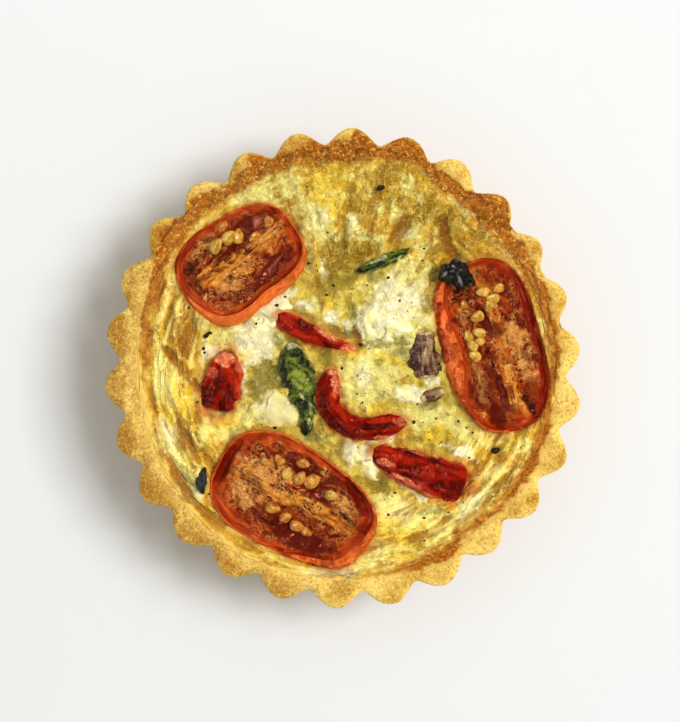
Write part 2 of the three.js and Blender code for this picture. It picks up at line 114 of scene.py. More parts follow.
def bell(value, width):
    return np.exp(-(value / width) ** 2)


def apart(first, second):
    # the angle between two directions
    turn = first - second
    return np.abs(np.arctan2(np.sin(turn), np.cos(turn)))


def directions(count):
    return np.arange(count) / count * 2 * np.pi


def smoothPath(points, steps):
    # a Catmull-Rom curve through the points, with values past x and y carried along
    p = np.array(points, float)
    p = np.vstack([2 * p[0] - p[1], p, 2 * p[-1] - p[-2]])
    t = np.linspace(0, len(points) - 1 - 1e-9, steps)
    i = t.astype(int)
    f = (t - i)[:, None]
    a, b, c, d = p[i], p[i + 1], p[i + 2], p[i + 3]
    return 0.5 * (2 * b + (c - a) * f + (2 * a - 5 * b + 4 * c - d) * f ** 2 + (3 * b - a - 3 * c + d) * f ** 3)


def pathDistance(x, y, path):
    # how far a place lies outside a band given by rows of x, y and half width
    best = np.full(np.shape(x), 1e9)
    for (ax, ay, aw), (bx, by, bw) in zip(path[:-1], path[1:]):
        lengthSquared = (bx - ax) ** 2 + (by - ay) ** 2 + 1e-9
        share = np.clip(((x - ax) * (bx - ax) + (y - ay) * (by - ay)) / lengthSquared, 0, 1)
        away = np.hypot(x - ax - share * (bx - ax), y - ay - share * (by - ay))
        best = np.minimum(best, away - blend(aw, bw, share))
    return best


# meshes

def colour(red, green, blue):
    # screen values from 0 to 255 as the shader's linear ones
    values = [v / 255 for v in (red, green, blue)]
    return tuple(v / 12.92 if v <= 0.04045 else ((v + 0.055) / 1.055) ** 2.4 for v in values) + (1,)


def objectWith(name, data):
    piece = bpy.data.objects.new(name, data)
    bpy.context.scene.collection.objects.link(piece)
    return piece


def addMarks(mesh, marks):
    for label, values in marks.items():
        layer = mesh.attributes.new(label, "FLOAT", "POINT")
        layer.data.foreach_set("value", np.asarray(values, np.float32).ravel())


def columns(*values):
    return np.stack(np.broadcast_arrays(*values), 1)


def addMesh(name, points, faces, marks=None, smooth=True):
    mesh = bpy.data.meshes.new(name)
    mesh.from_pydata((np.asarray(points) * millimetre).tolist(), [], [list(f) for f in faces])
    addMarks(mesh, marks or {})
    if smooth:
        mesh.shade_smooth()
    mesh.update()
    return objectWith(name, mesh)


def ringFaces(rings, around):
    # quads between rings of points that run round an axis, with a point at either pole
    a = np.arange(around)
    b = np.roll(a, -1)
    last, top = 1 + (rings - 1) * around, 1 + rings * around
    faces = [[0, 1 + second, 1 + first] for first, second in zip(a, b)]
    for low in range(1, last, around):
        faces += np.stack([low + a, low + b, low + around + b, low + around + a], 1).tolist()
    return faces + [[last + first, last + second, top] for first, second in zip(a, b)]


def dress(piece, material, slotName, *nodes):
    # the finished piece gets its material and takes the place of its plain solids
    piece.data.materials.clear()
    piece.data.materials.append(material)
    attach(piece, "root")
    if nodes:
        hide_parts(*nodes)
    return piece


# materials

def newMaterial(name):
    material = bpy.data.materials.new(name)
    material.use_nodes = True
    tree = material.node_tree
    return material, tree, tree.nodes["Principled BSDF"]


def mark(tree, name):
    node = tree.nodes.new("ShaderNodeAttribute")
    node.attribute_name = name
    return node.outputs["Fac"]


def marksIn(tree, names):
    return {name: mark(tree, name) for name in names.split()}


def tonesOf(look):
    return {name: colour(*value) for name, value in look.items() if isinstance(value, tuple) and len(value) == 3}


def plug(socket, value):
    # a socket takes either another socket or a plain value
    if hasattr(value, "links"):
        socket.id_data.links.new(value, socket)
    else:
        socket.default_value = value


def joined(kind, numbers, values, **settings):
    # a new node in the tree of the sockets among the values, which go to its inputs by number
    tree = next(value.id_data for value in values if hasattr(value, "links"))
    node = tree.nodes.new(kind)
    for label, value in settings.items():
        setattr(node, label, value)
    for number, value in zip(numbers, values):
        plug(node.inputs[number], value)
    return node.outputs


def sums(operation, *values):
    return joined("ShaderNodeMath", range(3), values, operation=operation)[0]


def times(first, *others):
    for other in others:
        first = sums("MULTIPLY", first, other)
    return first


def minus(first, second):
    return sums("SUBTRACT", first, second)


def larger(first, second):
    return sums("MAXIMUM", first, second)


def spread(value, fromLow, fromHigh, toLow=0.0, toHigh=1.0):
    return joined("ShaderNodeMapRange", range(5), (value, fromLow, fromHigh, toLow, toHigh))[0]


def mixColour(share, first, second):
    return joined("ShaderNodeMix", (0, 6, 7), (share, first, second), data_type="RGBA")[2]


def over(base, tone, *shares):
    # a tone laid over the base by the product of the shares
    return mixColour(times(*shares), base, tone)


def torn(noise, amount, mask):
    # the mask, its border broken up by the noise
    return sums("MULTIPLY_ADD", minus(noise, 0.5), amount, mask)


def threadOf(noise, width, core=0.0):
    # 1 along the winding line where the noise is half way
    return spread(sums("ABSOLUTE", minus(noise, 0.5)), width, core)


def noiseTexture(tree, size, detail=4.0, rough=0.55, distortion=0.0, place=None):
    # noise on object coordinates, with features of this size in millimetres
    node = tree.nodes.new("ShaderNodeTexNoise")
    if place is None:
        place = tree.nodes.new("ShaderNodeTexCoord").outputs["Object"]
    scale = sums("DIVIDE", 1 / millimetre, size) if hasattr(size, "links") else 1 / (size * millimetre)
    values = {"Vector": place, "Scale": scale, "Detail": detail, "Roughness": rough, "Distortion": distortion}
    for label, value in values.items():
        plug(node.inputs[label], value)
    return node.outputs["Fac"]


def finish(shader, base, rough, gloss, height=None, strength=0.0, distance=0.0, tint=(1, 1, 1)):
    # colour, roughness, gloss and relief of one material
    plug(shader.inputs["Base Color"], base)
    plug(shader.inputs["Roughness"], rough)
    shader.inputs["Specular IOR Level"].default_value = gloss
    shader.inputs["Specular Tint"].default_value = (*tint, 1)
    if height is not None:
        relief = shader.id_data.nodes.new("ShaderNodeBump")
        relief.inputs["Strength"].default_value = strength
        relief.inputs["Distance"].default_value = distance * millimetre
        plug(relief.inputs["Height"], height)
        plug(shader.inputs["Normal"], relief.outputs["Normal"])


def groupWith(name, inputs, outputs):
    # a node group, where a tuple stands for a colour and a number for a value
    group = bpy.data.node_groups.new(name, "ShaderNodeTree")
    for way, sockets in (("INPUT", inputs), ("OUTPUT", outputs)):
        for label, value in sockets.items():
            kind = "NodeSocketColor" if isinstance(value, tuple) else "NodeSocketFloat"
            group.interface.new_socket(label, in_out=way, socket_type=kind).default_value = value
    return group, group.nodes.new("NodeGroupInput").outputs, group.nodes.new("NodeGroupOutput").inputs


def groupIn(tree, group, values):
    node = tree.nodes.new("ShaderNodeGroup")
    node.node_tree = group
    for label, value in values.items():
        plug(node.inputs[label], value)
    return list(node.outputs)


def mottleGroup():
    # breaks a colour up into darker and lighter specks of one size
    group, into, out = groupWith("bakedMottle", {
        "Colour": (0.5, 0.5, 0.5, 1), "Dark": (0.2, 0.1, 0.05, 1), "Light": (1, 0.9, 0.6, 1), "Size": 1.0,
        "Darkening": 0.4, "Lightening": 0.3}, {"Colour": (1, 1, 1, 1), "Speck": 0.0})
    speck = noiseTexture(group, into["Size"], 5, 0.62, 0.6)
    darker = over(into["Colour"], into["Dark"], spread(speck, 0.5, 0.32), into["Darkening"])
    plug(out["Colour"], over(darker, into["Light"], spread(speck, 0.52, 0.72), into["Lightening"]))
    plug(out["Speck"], speck)
    return group


def strandGroup():
    # fine strands that run round the tart or outwards, by the two sizes of the noise they come from
    group, into, out = groupWith("meltedStrands", {"Outward Size": 0.6, "Ring Size": 5.0},
                                 {"Fibre": 0.0, "Tone": 0.0})
    split = group.nodes.new("ShaderNodeSeparateXYZ")
    plug(split.inputs[0], group.nodes.new("ShaderNodeTexCoord").outputs["Object"])
    x, y = split.outputs["X"], split.outputs["Y"]
    radius = larger(sums("SQRT", sums("MULTIPLY_ADD", y, y, times(x, x))), 0.5 * millimetre)
    around = sums("DIVIDE", ringRadius, into["Ring Size"])
    place = group.nodes.new("ShaderNodeCombineXYZ")
    plug(place.inputs["X"], sums("DIVIDE", sums("DIVIDE", radius, millimetre), into["Outward Size"]))
    plug(place.inputs["Y"], times(sums("DIVIDE", x, radius), around))
    plug(place.inputs["Z"], times(sums("DIVIDE", y, radius), around))
    tone = noiseTexture(group, 1 / millimetre, 3, 0.55, 0.7, place.outputs[0])
    plug(out["Fibre"], threadOf(tone, 0.16))
    plug(out["Tone"], tone)
    return group


def crustGroup():
    # a crisp browned crust: painted shade in its dark hollows and painted highlights on its bright blistered crumbs
    group, into, out = groupWith("crispCrust", {
        "Brown": (0.3, 0.1, 0.01, 1), "Dark": (0.1, 0.03, 0.0, 1), "Bright": (0.8, 0.4, 0.1, 1), "Size": 1.0},
        {"Colour": (1, 1, 1, 1), "Height": 0.0})
    fine = noiseTexture(group, into["Size"], 4, 0.6, 1.2)
    broad = noiseTexture(group, times(into["Size"], 2.6), 4, 0.6, 2.2)
    darker = over(into["Brown"], into["Dark"], spread(broad, 0.52, 0.4), 0.7)
    crumbHighlight = times(spread(fine, 0.53, 0.62), spread(broad, 0.38, 0.56))
    plug(out["Colour"], mixColour(crumbHighlight, darker, into["Bright"]))
    plug(out["Height"], sums("MULTIPLY_ADD", fine, 0.8, broad))
    return group


bakedMottle, meltedStrands, crispCrust = mottleGroup(), strandGroup(), crustGroup()


def mottle(base, dark, light, size, darkening, lightening):
    return groupIn(base.id_data, bakedMottle, {"Colour": base, "Dark": dark, "Light": light, "Size": size,
                                               "Darkening": darkening, "Lightening": lightening})


def strands(tree, outwardSize, ringSize):
    return groupIn(tree, meltedStrands, {"Outward Size": outwardSize, "Ring Size": ringSize})


def crusted(smoothTone):
    # the blistered crust, or a smooth brown where it isn't crisp
    tree = smoothTone.id_data
    blistered, height = groupIn(tree, crispCrust, {
        "Brown": colour(190, 118, 28), "Dark": colour(134, 72, 12), "Bright": colour(246, 200, 112), "Size": 0.8})
    crisp = mark(tree, "crisp")
    smooth = mixColour(spread(smoothTone, 0.4, 0.62), colour(146, 80, 10), colour(204, 138, 44))
    return mixColour(crisp, smooth, blistered), times(height, crisp)


# sizes that the pieces share

pastryCase = {
    "flutes": 26, "firstTip": 4.8, "rimTipRadius": 49.8, "baseTipRadius": 44.4, "fluteDepth": 3.3,
    "valleyRounding": 0.28, "height": 22.0, "rimCrown": 0.3,
    "floorThickness": 3.2, "rimInnerRadius": 42.9, "floorInnerRadius": 38.6,
}

# how far the rim wanders in and out: direction, millimetres
rimWander = np.array([
    (6, -0.2), (19, -0.8), (33, -1.1), (48, -0.7), (62, 0.2), (75, 0.55), (89, 0.65), (103, 0.35), (116, -0.1),
    (128, -0.2), (143, 0.4), (157, 0.6), (175, 0.6), (195, 0.5), (212, 0.5), (226, 0.15), (241, 0.15), (253, 0.35),
    (268, 0.8), (283, 0.85), (295, 0.55), (310, -0.2), (324, 0.45), (338, 0.6), (351, 0.4),
])

custardLevels = {"middle": 22.0, "sunkEdge": 21.75, "spiltEdge": 23.0}

# where custard has baked over the rim: direction, half spread, reach
spills = [
    (80, 24, 46.2), (108, 16, 45.9), (134, 15, 45.4), (47, 9, 46.2), (28, 11, 45),
]

# broad swells of the custard: x, y, half widths, turn, rise
swells = [
    (11, 15, 11, 8, -10, 1.3), (-1, 36, 8, 6, 10, 0.9), (21, 33, 9, 6, -40, 0.8), (-34, -2, 5, 14, 10, 0.8),
    (-22, -12, 8, 5, 30, 0.5), (7, -4, 8, 7, 0, 0.6), (19, -32, 12, 6, 35, 0.8), (31, -17, 7, 7, 0, 0.7),
    (-11, -6, 7, 9, 15, -0.9), (-4, 19, 6, 5, 20, -0.6),
]


def fluteLobe(angle):
    # 1 at a flute's tip, 0 in the valley between two
    wave = np.cos(pastryCase["flutes"] / 2 * (angle - radians(pastryCase["firstTip"])))
    soft = pastryCase["valleyRounding"]
    return (np.hypot(wave, soft) - soft) / (math.hypot(1, soft) - soft)


def wanderAt(angle):
    return np.interp(np.degrees(angle), rimWander[:, 0], rimWander[:, 1], period=360)


def rimTop(angle):
    return pastryCase["height"] + 0.25 * np.sin(2 * angle + 0.6) + 0.15 * np.sin(5 * angle)


def pastryInside(angle, z):
    rise = (z - pastryCase["floorThickness"]) / (pastryCase["height"] - pastryCase["floorThickness"])
    radius = blend(pastryCase["floorInnerRadius"], pastryCase["rimInnerRadius"], rise)
    pressed = 0.3 * (fluteLobe(angle) - 0.5) + 0.5 * np.sin(3 * angle + 0.9)
    return radius + pressed * np.clip(rise, 0, 1)


def spillAt(angle):
    amount, reach = np.zeros(np.shape(angle)), np.full(np.shape(angle), pastryCase["rimInnerRadius"])
    for degrees, halfSpread, furthest in spills:
        here = 1 - ramp(apart(angle, radians(degrees)) / radians(halfSpread), 0.45, 1.2)
        amount = np.maximum(amount, here)
        reach = np.maximum(reach, blend(pastryCase["rimInnerRadius"], furthest, here))
    return amount, reach


def custardLevel(x, y):
    # the custard's broad surface, without its wrinkles
    angle, radius = np.arctan2(y, x), np.hypot(x, y)
    edge = blend(custardLevels["sunkEdge"], custardLevels["spiltEdge"], ramp(spillAt(angle)[0], 0, 0.4))
    outward = ramp(radius, 30, pastryCase["rimInnerRadius"])
    level = blend(custardLevels["middle"], edge + rimTop(angle) - pastryCase["height"], outward)
    for *place, rise in swells:
        level += rise * bell(ellipseDistance(x, y, *place), 1) * (1 - 0.7 * outward)
    ripple = (0.2 * np.sin(0.55 * x - 0.31 * y + 2.1) + 0.16 * np.sin(0.42 * y + 0.23 * x + 0.7)
              + 0.12 * np.sin(0.83 * y - 0.36 * x))
    return level + ripple * (1 - 0.6 * outward)


# the browned edge of the custard round the case: direction, outer radius, width of the band, strength
brownedEdge = np.array([
    (-180, 41.7, 1.6, 0.5), (-165, 40.9, 1.4, 0.3), (-150, 42.1, 1.4, 0.4), (-136, 42.5, 1.4, 0.35),
    (-118, 43, 1.4, 0.4), (-90, 43.2, 1.2, 0.15), (-77, 43.9, 1.4, 0.6), (-68, 44.3, 1.8, 0.85),
    (-63, 45.2, 2.6, 0.9), (-58, 44.2, 2.2, 0.85), (-53, 42.7, 1.7, 0.8), (-45, 43.2, 1.6, 0.8), (-38, 44, 1.6, 0.8),
    (-32, 44.4, 1.8, 0.8), (-27, 45, 3, 0.85), (-20, 44, 2, 0.8), (-8, 43.7, 1.8, 0.7), (0, 44.6, 2.4, 0.75),
    (12, 45.4, 2.6, 0.8), (24, 44.8, 3, 0.8), (38, 44.8, 3.4, 0.85), (41, 46.5, 5, 0.9), (43.5, 51, 9.4, 1),
    (51.5, 51, 9.2, 1), (54, 45.2, 3.2, 0.9), (61, 45, 2.6, 0.9), (65, 45.8, 2.4, 0.95), (68, 47.4, 3, 1),
    (70.5, 51.5, 6.6, 1), (86.8, 51.5, 7.6, 1), (88.6, 46.8, 3.4, 1), (94, 46.2, 2.6, 1), (95.4, 51, 6.5, 1),
    (97.6, 51, 6.5, 1), (98.8, 46.6, 2.8, 1), (105.4, 46.4, 2.6, 1), (107.6, 51, 6.8, 1), (113.4, 51, 7.2, 1),
    (115.6, 45.4, 2.2, 0.95), (124, 45.2, 2.4, 0.85), (131, 46.8, 3.6, 0.9), (140, 47.2, 4.4, 0.9),
    (147, 46.4, 3.4, 0.85), (152, 44.4, 2.4, 0.8), (160, 43.2, 2.6, 0.8), (168, 42.8, 2, 0.75), (175, 42, 1.6, 0.6),
    (180, 41.9, 1.6, 0.6),
])


def crispAt(angle):
    # how crisp the browned edge is: blistered at the rear, smooth elsewhere
    return ramp(np.cos(angle - radians(90)), 0.1, 0.55)


def brownedAt(angle):
    degrees = np.degrees(angle)
    return [np.interp(degrees, brownedEdge[:, 0], brownedEdge[:, column]) for column in (1, 2, 3)]


# toppings: where they lie

# on the cut face, seeds: x, y, turn, size, veil; round its rim, cleft: direction, depth, width, and rim tone,
# partly painted shade: direction, amount; the other rows are ellipses: x, y, half widths, turn
tomatoes = {
    "rearLeft": {
        "node": "tomato_half_rear_left", "x": -21.5, "y": 21.9, "turn": 35, "halfLength": 14.3, "halfWidth": 10.9,
        "depth": 6.5, "coreShift": 0.06, "lift": 1.9, "lean": 9, "leanTowards": 135, "skinShown": 1.9,
        "skinSide": -104, "skinSpread": 0.7, "taper": 0.03, "seed": 11,
        "seeds": [(-2.3, 6, 20, 1.1, 0), (0.9, 5.9, 10, 1.05, 0), (2.7, 5.1, 50, 1, 0.1), (1.3, 8.6, 0, 0.9, 0.7),
            (9.6, 3.5, 80, 1, 0.8), (5.4, 2.6, 30, 0.85, 0.75)],
        "cleft": [(-170, 0.5, 0.04), (-115, 1, 0.05), (-25, 1, 0.07), (30, 0.3, 0.03), (100, 0.3, 0.03),
            (140, 0.7, 0.04)],
        "rimTones": [(-160, 0.95), (-125, 0.95), (-55, 0.85), (-20, 0.8), (10, 0.75), (65, 0.5), (145, 0.3),
            (175, 0.5)], "jelly": [(6.4, 5.4, 6.2, 2.2, -8), (4.6, -4.6, 6, 1.5, 14), (-1, 3.4, 4, 0.8, 8)],
        "gold": [(-3, 0.4, 7.4, 3.2, -6), (6, 1.4, 6, 0.9, -4)],
        "pale": [(-3.4, 8.6, 3, 1.6, 20), (-7, 7, 2, 1.6, 30), (-5, -2.4, 4, 2, 0), (8, 1.6, 5, 1, -4)],
        "scorch": [(-9.4, 5, 2, 2, 40), (-10.6, 1, 1.4, 2.4, 0), (-4, 4.2, 3, 0.5, 10)]},
    "right": {
        "node": "tomato_half_right", "x": 31, "y": 4.6, "turn": 105.5, "halfLength": 19.2, "halfWidth": 11,
        "depth": 7, "coreShift": -0.08, "lift": 1.7, "lean": 7, "leanTowards": 15, "skinShown": 3.6, "skinSide": 82,
        "skinSpread": 0.4, "taper": -0.08, "seed": 23,
        "seeds": [(11.4, -0.6, 80, 0.85, 0.15), (11.2, -4.2, 100, 0.8, 0.35), (9.5, -2.3, 70, 0.85, 0),
            (8.3, -1.2, 140, 0.75, 0), (6.7, 1.7, 100, 0.9, 0.1), (3.4, 4.6, 10, 0.75, 0.15), (3.4, 2.2, 60, 0.9, 0),
            (1.3, 4.3, 20, 0.85, 0), (-0.9, 4.3, 40, 0.9, 0), (1.6, 2.5, 90, 0.8, 0.2), (10, 3.6, 0, 0.6, 0.6)],
        "cleft": [(-170, 0.6, 0.05), (-130, 1, 0.1), (-85, 1, 0.11), (-45, 0.9, 0.08), (-10, 0.3, 0.04),
            (75, 0.25, 0.03), (130, 0.3, 0.03), (165, 0.4, 0.04)],
        "rimTones": [(-170, 0.4), (-140, 0.15), (-105, 0), (-60, 0.05), (-15, 0.35), (30, 0.5), (75, 0.55),
            (120, 0.55), (165, 0.45)], "jelly": [(5, 0.2, 4, 1, 10), (-10.5, 0.8, 6, 0.9, 2), (-14, 3, 3, 2, 0)],
        "gold": [(-11, -2, 8, 1.1, 10)],
        "pale": [(-2, -5.4, 8, 2.8, 6), (7.4, 4.4, 2.2, 1.4, 0), (16.6, 0.6, 2, 3, 0), (-7.5, 4.6, 5, 1.4, 0)],
        "scorch": [(-13.6, -3.9, 3.6, 0.9, 20), (-1.6, 1.4, 6, 0.4, 6), (12.4, 3.6, 2, 2, 0)]},
    "frontLeft": {
        "node": "tomato_half_front_left", "x": -10.4, "y": -27.9, "turn": -31, "halfLength": 18.9, "halfWidth": 11.8,
        "depth": 7, "coreShift": 0.05, "lift": 1.7, "lean": 6, "leanTowards": 240, "skinShown": 2.4, "skinSide": -24,
        "skinSpread": 0.1, "taper": 0.05, "seed": 37,
        "seeds": [(-9.4, 4.2, 10, 0.7, 0.6), (-7.2, 6, 160, 0.8, 0.45), (-4.4, 4.5, 90, 0.8, 0),
            (-2.6, 8, 10, 0.9, 0.6), (-1.6, 5, 80, 0.95, 0.55), (1, 5.7, 60, 1.15, 0.6), (6, 5.3, 20, 0.85, 0),
            (-3.2, -3.3, 20, 1, 0.55), (0.1, -3.5, 60, 0.9, 0.75), (3.2, -4, 10, 1, 0.65), (5.3, -4.1, 0, 0.8, 0.8),
            (-11.6, 1, 40, 0.7, 0.7)],
        "cleft": [(-175, 1, 0.07), (-130, 0.5, 0.04), (-70, 0.3, 0.03), (-30, 0.5, 0.04), (10, 1, 0.08),
            (40, 1, 0.12), (80, 0.4, 0.05), (130, 0.3, 0.03), (160, 1, 0.07)],
        "rimTones": [(-175, 0.7), (-114, 0.6), (-69, 0.5), (-22, 0.75), (15, 0.65), (41, 0.55), (80, 0.7), (121, 0.8),
            (160, 0.75)],
        "jelly": [(5, -6, 8.6, 3, 0), (9.6, 8.2, 6.6, 1.2, -34), (-16.4, -0.4, 1.2, 4.6, 8), (-1, 6.4, 5.4, 1.7, -8),
            (4.4, 3.4, 4, 0.8, -4)], "gold": [(1.5, 0.6, 10.4, 2.3, 9)],
        "pale": [(-9.6, 1, 5.6, 5, 0), (9, 4.6, 4, 2.4, -20), (-10, -4.6, 3.4, 1.8, -20), (-6.4, 3.8, 5, 2.4, 0)],
        "scorch": [(12.4, 2.6, 4, 0.5, -10), (-3, -6.4, 4, 0.4, 0), (11.6, -4.4, 0.9, 0.8, 0)]},
}

# paths: x, y, height over the custard, half width; spots of film, dark and light: x, y, half widths, turn and, unless
# it is 1, strength; some light spots are painted highlights
peppers = {
    "pepperRear": {
        "node": "pepper_strip_rear", "halfHeight": 1.2, "seed": 51, "bluntness": 7,
        "path": [(-14.2, 11, 0.3, 1.9), (-10.4, 8.8, 0.7, 2.15), (-6.6, 6.9, 0.6, 1.95), (-2.6, 5.3, 0.1, 1.3),
            (2.6, 3.8, -0.3, 0.9)],
        "film": [(1.4, 3.8, 3, 1.4, 0, 0.9), (-3.4, 6.8, 3.4, 0.7, -30, 0.9), (-13.6, 12.2, 1.2, 1, 0, 0.5)],
        "dark": [(-3.4, 4.6, 1.8, 0.9, -30, 0.9), (-1.2, 5, 3, 1.4, -25, 0.45)],
        "light": [(-10.6, 11, 2.4, 0.7, -30, 0.6), (-9.4, 7.4, 2.6, 0.5, -30, 0.8), (-0.4, 5, 4.4, 0.9, -25)]},
    "pepperCurved": {
        "node": "pepper_strip_curved", "halfHeight": 1.7, "seed": 53, "bluntness": 8,
        "path": [(-2.2, 0, 0, 1.9), (-3.3, -4.4, 0.6, 2.5), (-2.7, -8.5, 0.8, 2.5), (0.6, -11.7, 0.7, 2.5),
            (5.4, -12.7, 0.6, 2.5), (9.6, -11.7, 0.5, 2.5), (13.2, -11.2, 0, 1.6)],
        "film": [(-1.8, -0.4, 2, 1.6, 0, 0.9), (-1.9, -3.4, 1.2, 2.8, 0, 0.85), (12, -11, 2, 1.2, 0, 0.6),
            (8, -14.6, 2.6, 0.8, 0, 0.7)],
        "dark": [(-4.4, -8, 0.9, 4, 0, 0.6), (2, -13.4, 5, 0.8, -15, 0.6), (9.6, -11.8, 2.4, 0.4, 0, 0.7)],
        "light": [(-2, -4, 0.9, 3.4, 4, 0.9), (7.6, -10.9, 3.6, 0.7, 6, 0.8), (10, -12.8, 3, 0.5, 6, 0.6)]},
    "pepperRight": {
        "node": "pepper_piece_right", "halfHeight": 1.5, "seed": 57, "bluntness": 12, "flatness": 0.72,
        "ragged": 0.16,
        "path": [(5.8, -17.2, 0.1, 1.9), (11.5, -19.8, 0.5, 3.4), (18, -22.3, 0.7, 4.1), (25.2, -24.5, 0.4, 4.5)],
        "film": [(8.4, -19.6, 2.6, 1, -20, 0.8), (13, -23.4, 4, 0.7, -30, 0.8), (17.6, -26.4, 3, 0.6, -25, 0.7),
            (16, -17.8, 4, 0.6, -20, 0.5)],
        "dark": [(23.6, -25.4, 3.6, 2.6, -20, 0.9), (26.8, -22.4, 1, 3, 0, 0.7), (15, -21.6, 4, 1.2, -20, 0.4)],
        "light": [(9.6, -18.2, 3, 1.4, -20, 0.8), (14.4, -19.6, 2.4, 0.9, -20, 0.5),
            (20.4, -20.8, 4, 0.5, -18, 0.5)]},
    "pepperLeft": {
        "node": "pepper_piece_left", "halfHeight": 1.5, "seed": 59, "bluntness": 16, "flatness": 0.72, "ragged": 0.2,
        "path": [(-24.2, 3.4, 0, 1.9), (-24.6, 0, 0.5, 3.3), (-25.6, -4, 0.5, 4), (-26.8, -8.7, 0, 3.8)],
        "film": [(-25, 2, 3, 2, 0, 0.95), (-27.2, -1, 1.6, 1.6, 60, 0.5), (-22, 0.6, 1, 2, 0, 0.5)],
        "dark": [(-28.2, -6, 2.6, 2.6, 0, 0.95), (-25.6, -2, 1.4, 1.6, 60, 0.7), (-26, -7.6, 2, 1, 0, 0.6)],
        "light": [(-22.8, -2.6, 1.2, 4, 12, 0.9), (-25.4, -5.4, 0.8, 1.4, 0, 0.5), (-29, -3, 0.7, 1.4, 20, 0.5)]},
}

onions = {
    "onionLarge": {
        "node": "onion_piece_large", "halfHeight": 1.4, "seed": 61,
        "path": [(16.4, 7.6, -0.4, 2.3), (16.7, 2.8, 0.5, 3.1), (17.6, -2, -0.3, 2.8)],
        "dark": [(14.2, 4.6, 1.2, 3.4, -6), (14.6, 0.6, 1.9, 1.8, 0), (19.2, 4.6, 0.8, 3, -14),
            (20.2, 0.4, 0.8, 2.6, -8)], "light": [(17.2, 3.2, 1.1, 4.6, -12)],
        "film": [(17.8, -2.2, 3, 0.9, 0, 0.9), (16.6, 7.4, 2.6, 0.7, 0, 0.7), (17, 4.2, 0.3, 3, -12, 0.6)]},
    "onionSmall": {
        "node": "onion_piece_small", "halfHeight": 1, "seed": 67,
        "path": [(16, -6.4, 0, 0.9), (18.4, -5.7, 0.4, 1.3), (20.8, -4.6, 0, 0.9)],
        "dark": [(18, -6.2, 1.6, 0.6, 10, 0.5)], "light": [(18.6, -5.2, 2, 0.6, 14, 0.7)],
        "film": [(16.2, -6.4, 1, 1, 0, 0.8), (20.6, -4.6, 1, 0.8, 0, 0.8)]},
}

leaves = {
    "leafRear": {
        "node": "leaf_rear", "halfHeight": 0.25, "curl": 0.9, "seed": 71, "crumple": 0.35, "charred": False,
        "path": [(2.5, 20, 0.3, 0.9), (8.5, 22.2, 0.4, 1.25), (14.6, 25, 0.2, 0.6)],
        "dark": [(6, 20.9, 4.4, 0.4, 22), (11.6, 23.6, 3.4, 0.4, 24, 0.9), (3.2, 20.4, 1, 1, 0)],
        "light": [(9.6, 22.3, 4, 0.3, 22, 0.8)],
        "film": [(7, 22.4, 3.6, 0.4, 22, 0.9), (13.8, 24.2, 1.2, 0.5, 20, 0.5)]},
    "leafCentre": {
        "node": "leaf_centre", "halfHeight": 0.3, "curl": 0.5, "seed": 73, "crumple": 0.9, "charred": False,
        "path": [(-11, 5.4, 0, 2.2), (-10.4, 1.2, 0.7, 3.3), (-9.2, -3.2, 0.9, 3.4), (-7.6, -8.2, 0.5, 2.1),
            (-7.8, -12, 0.3, 1.7), (-8.4, -14.6, 0.2, 0.8)],
        # the dark rows along the left edge are painted shade
        "dark": [(-13, 0.4, 1.3, 4.6, 8), (-11.4, -3.6, 0.8, 1.6, 0, 0.9), (-8.4, -7.4, 1.2, 2.4, 20, 0.9),
            (-8.4, -12.6, 1.2, 2.6, 0, 0.9), (-5.8, -2, 0.7, 1, 0, 0.8), (-10.2, 2.8, 1.6, 0.6, 10, 0.7)],
        "light": [(-9.6, -1.6, 2.4, 2.4, 0, 0.9), (-8.2, -4, 2, 1.4, 0), (-10.6, 1.6, 1.4, 1, 0, 0.6)],
        "film": [(-10.2, 5.2, 3, 1.6, 0), (-8.8, -5.8, 0.5, 1.6, 30, 0.8), (-6.9, -8.6, 0.5, 2.4, 5, 0.7),
            (-7.2, -11.4, 0.5, 1.8, 10, 0.9), (-6.2, -13, 0.8, 1.2, 0, 0.6), (-7.6, -2.4, 0.4, 1.6, -30, 0.6)]},
    "leafCharredRight": {
        "node": "leaf_charred_right", "halfHeight": 0.3, "curl": -0.6, "seed": 79, "crumple": 1.05, "charred": True,
        "path": [(19.2, 18.4, 2.4, 0.8), (23, 19.6, 3.3, 2.9), (27.2, 17.2, 2.6, 0.9)],
        # these film spots are painted grey glints on the burnt leaf
        "film": [(20.8, 19.4, 0.3, 0.9, -32), (23.8, 18.2, 0.5, 1.2, 24, 0.9), (22.6, 20.9, 0.3, 0.8, 36, 0.8),
            (19.9, 17.4, 0.5, 0.3, 0, 0.7), (26.2, 17.2, 0.3, 0.5, 40, 0.8), (22.1, 17, 0.9, 0.25, 8, 0.7)]},
    "leafCharredLeft": {
        "node": "leaf_charred_left", "halfHeight": 0.25, "curl": 0.3, "seed": 83, "crumple": 0.4, "charred": True,
        "path": [(-28.8, -20.6, 0.9, 0.6), (-29.7, -23.4, 1.2, 1.2), (-29.2, -26.2, 0.9, 0.5)]},
}

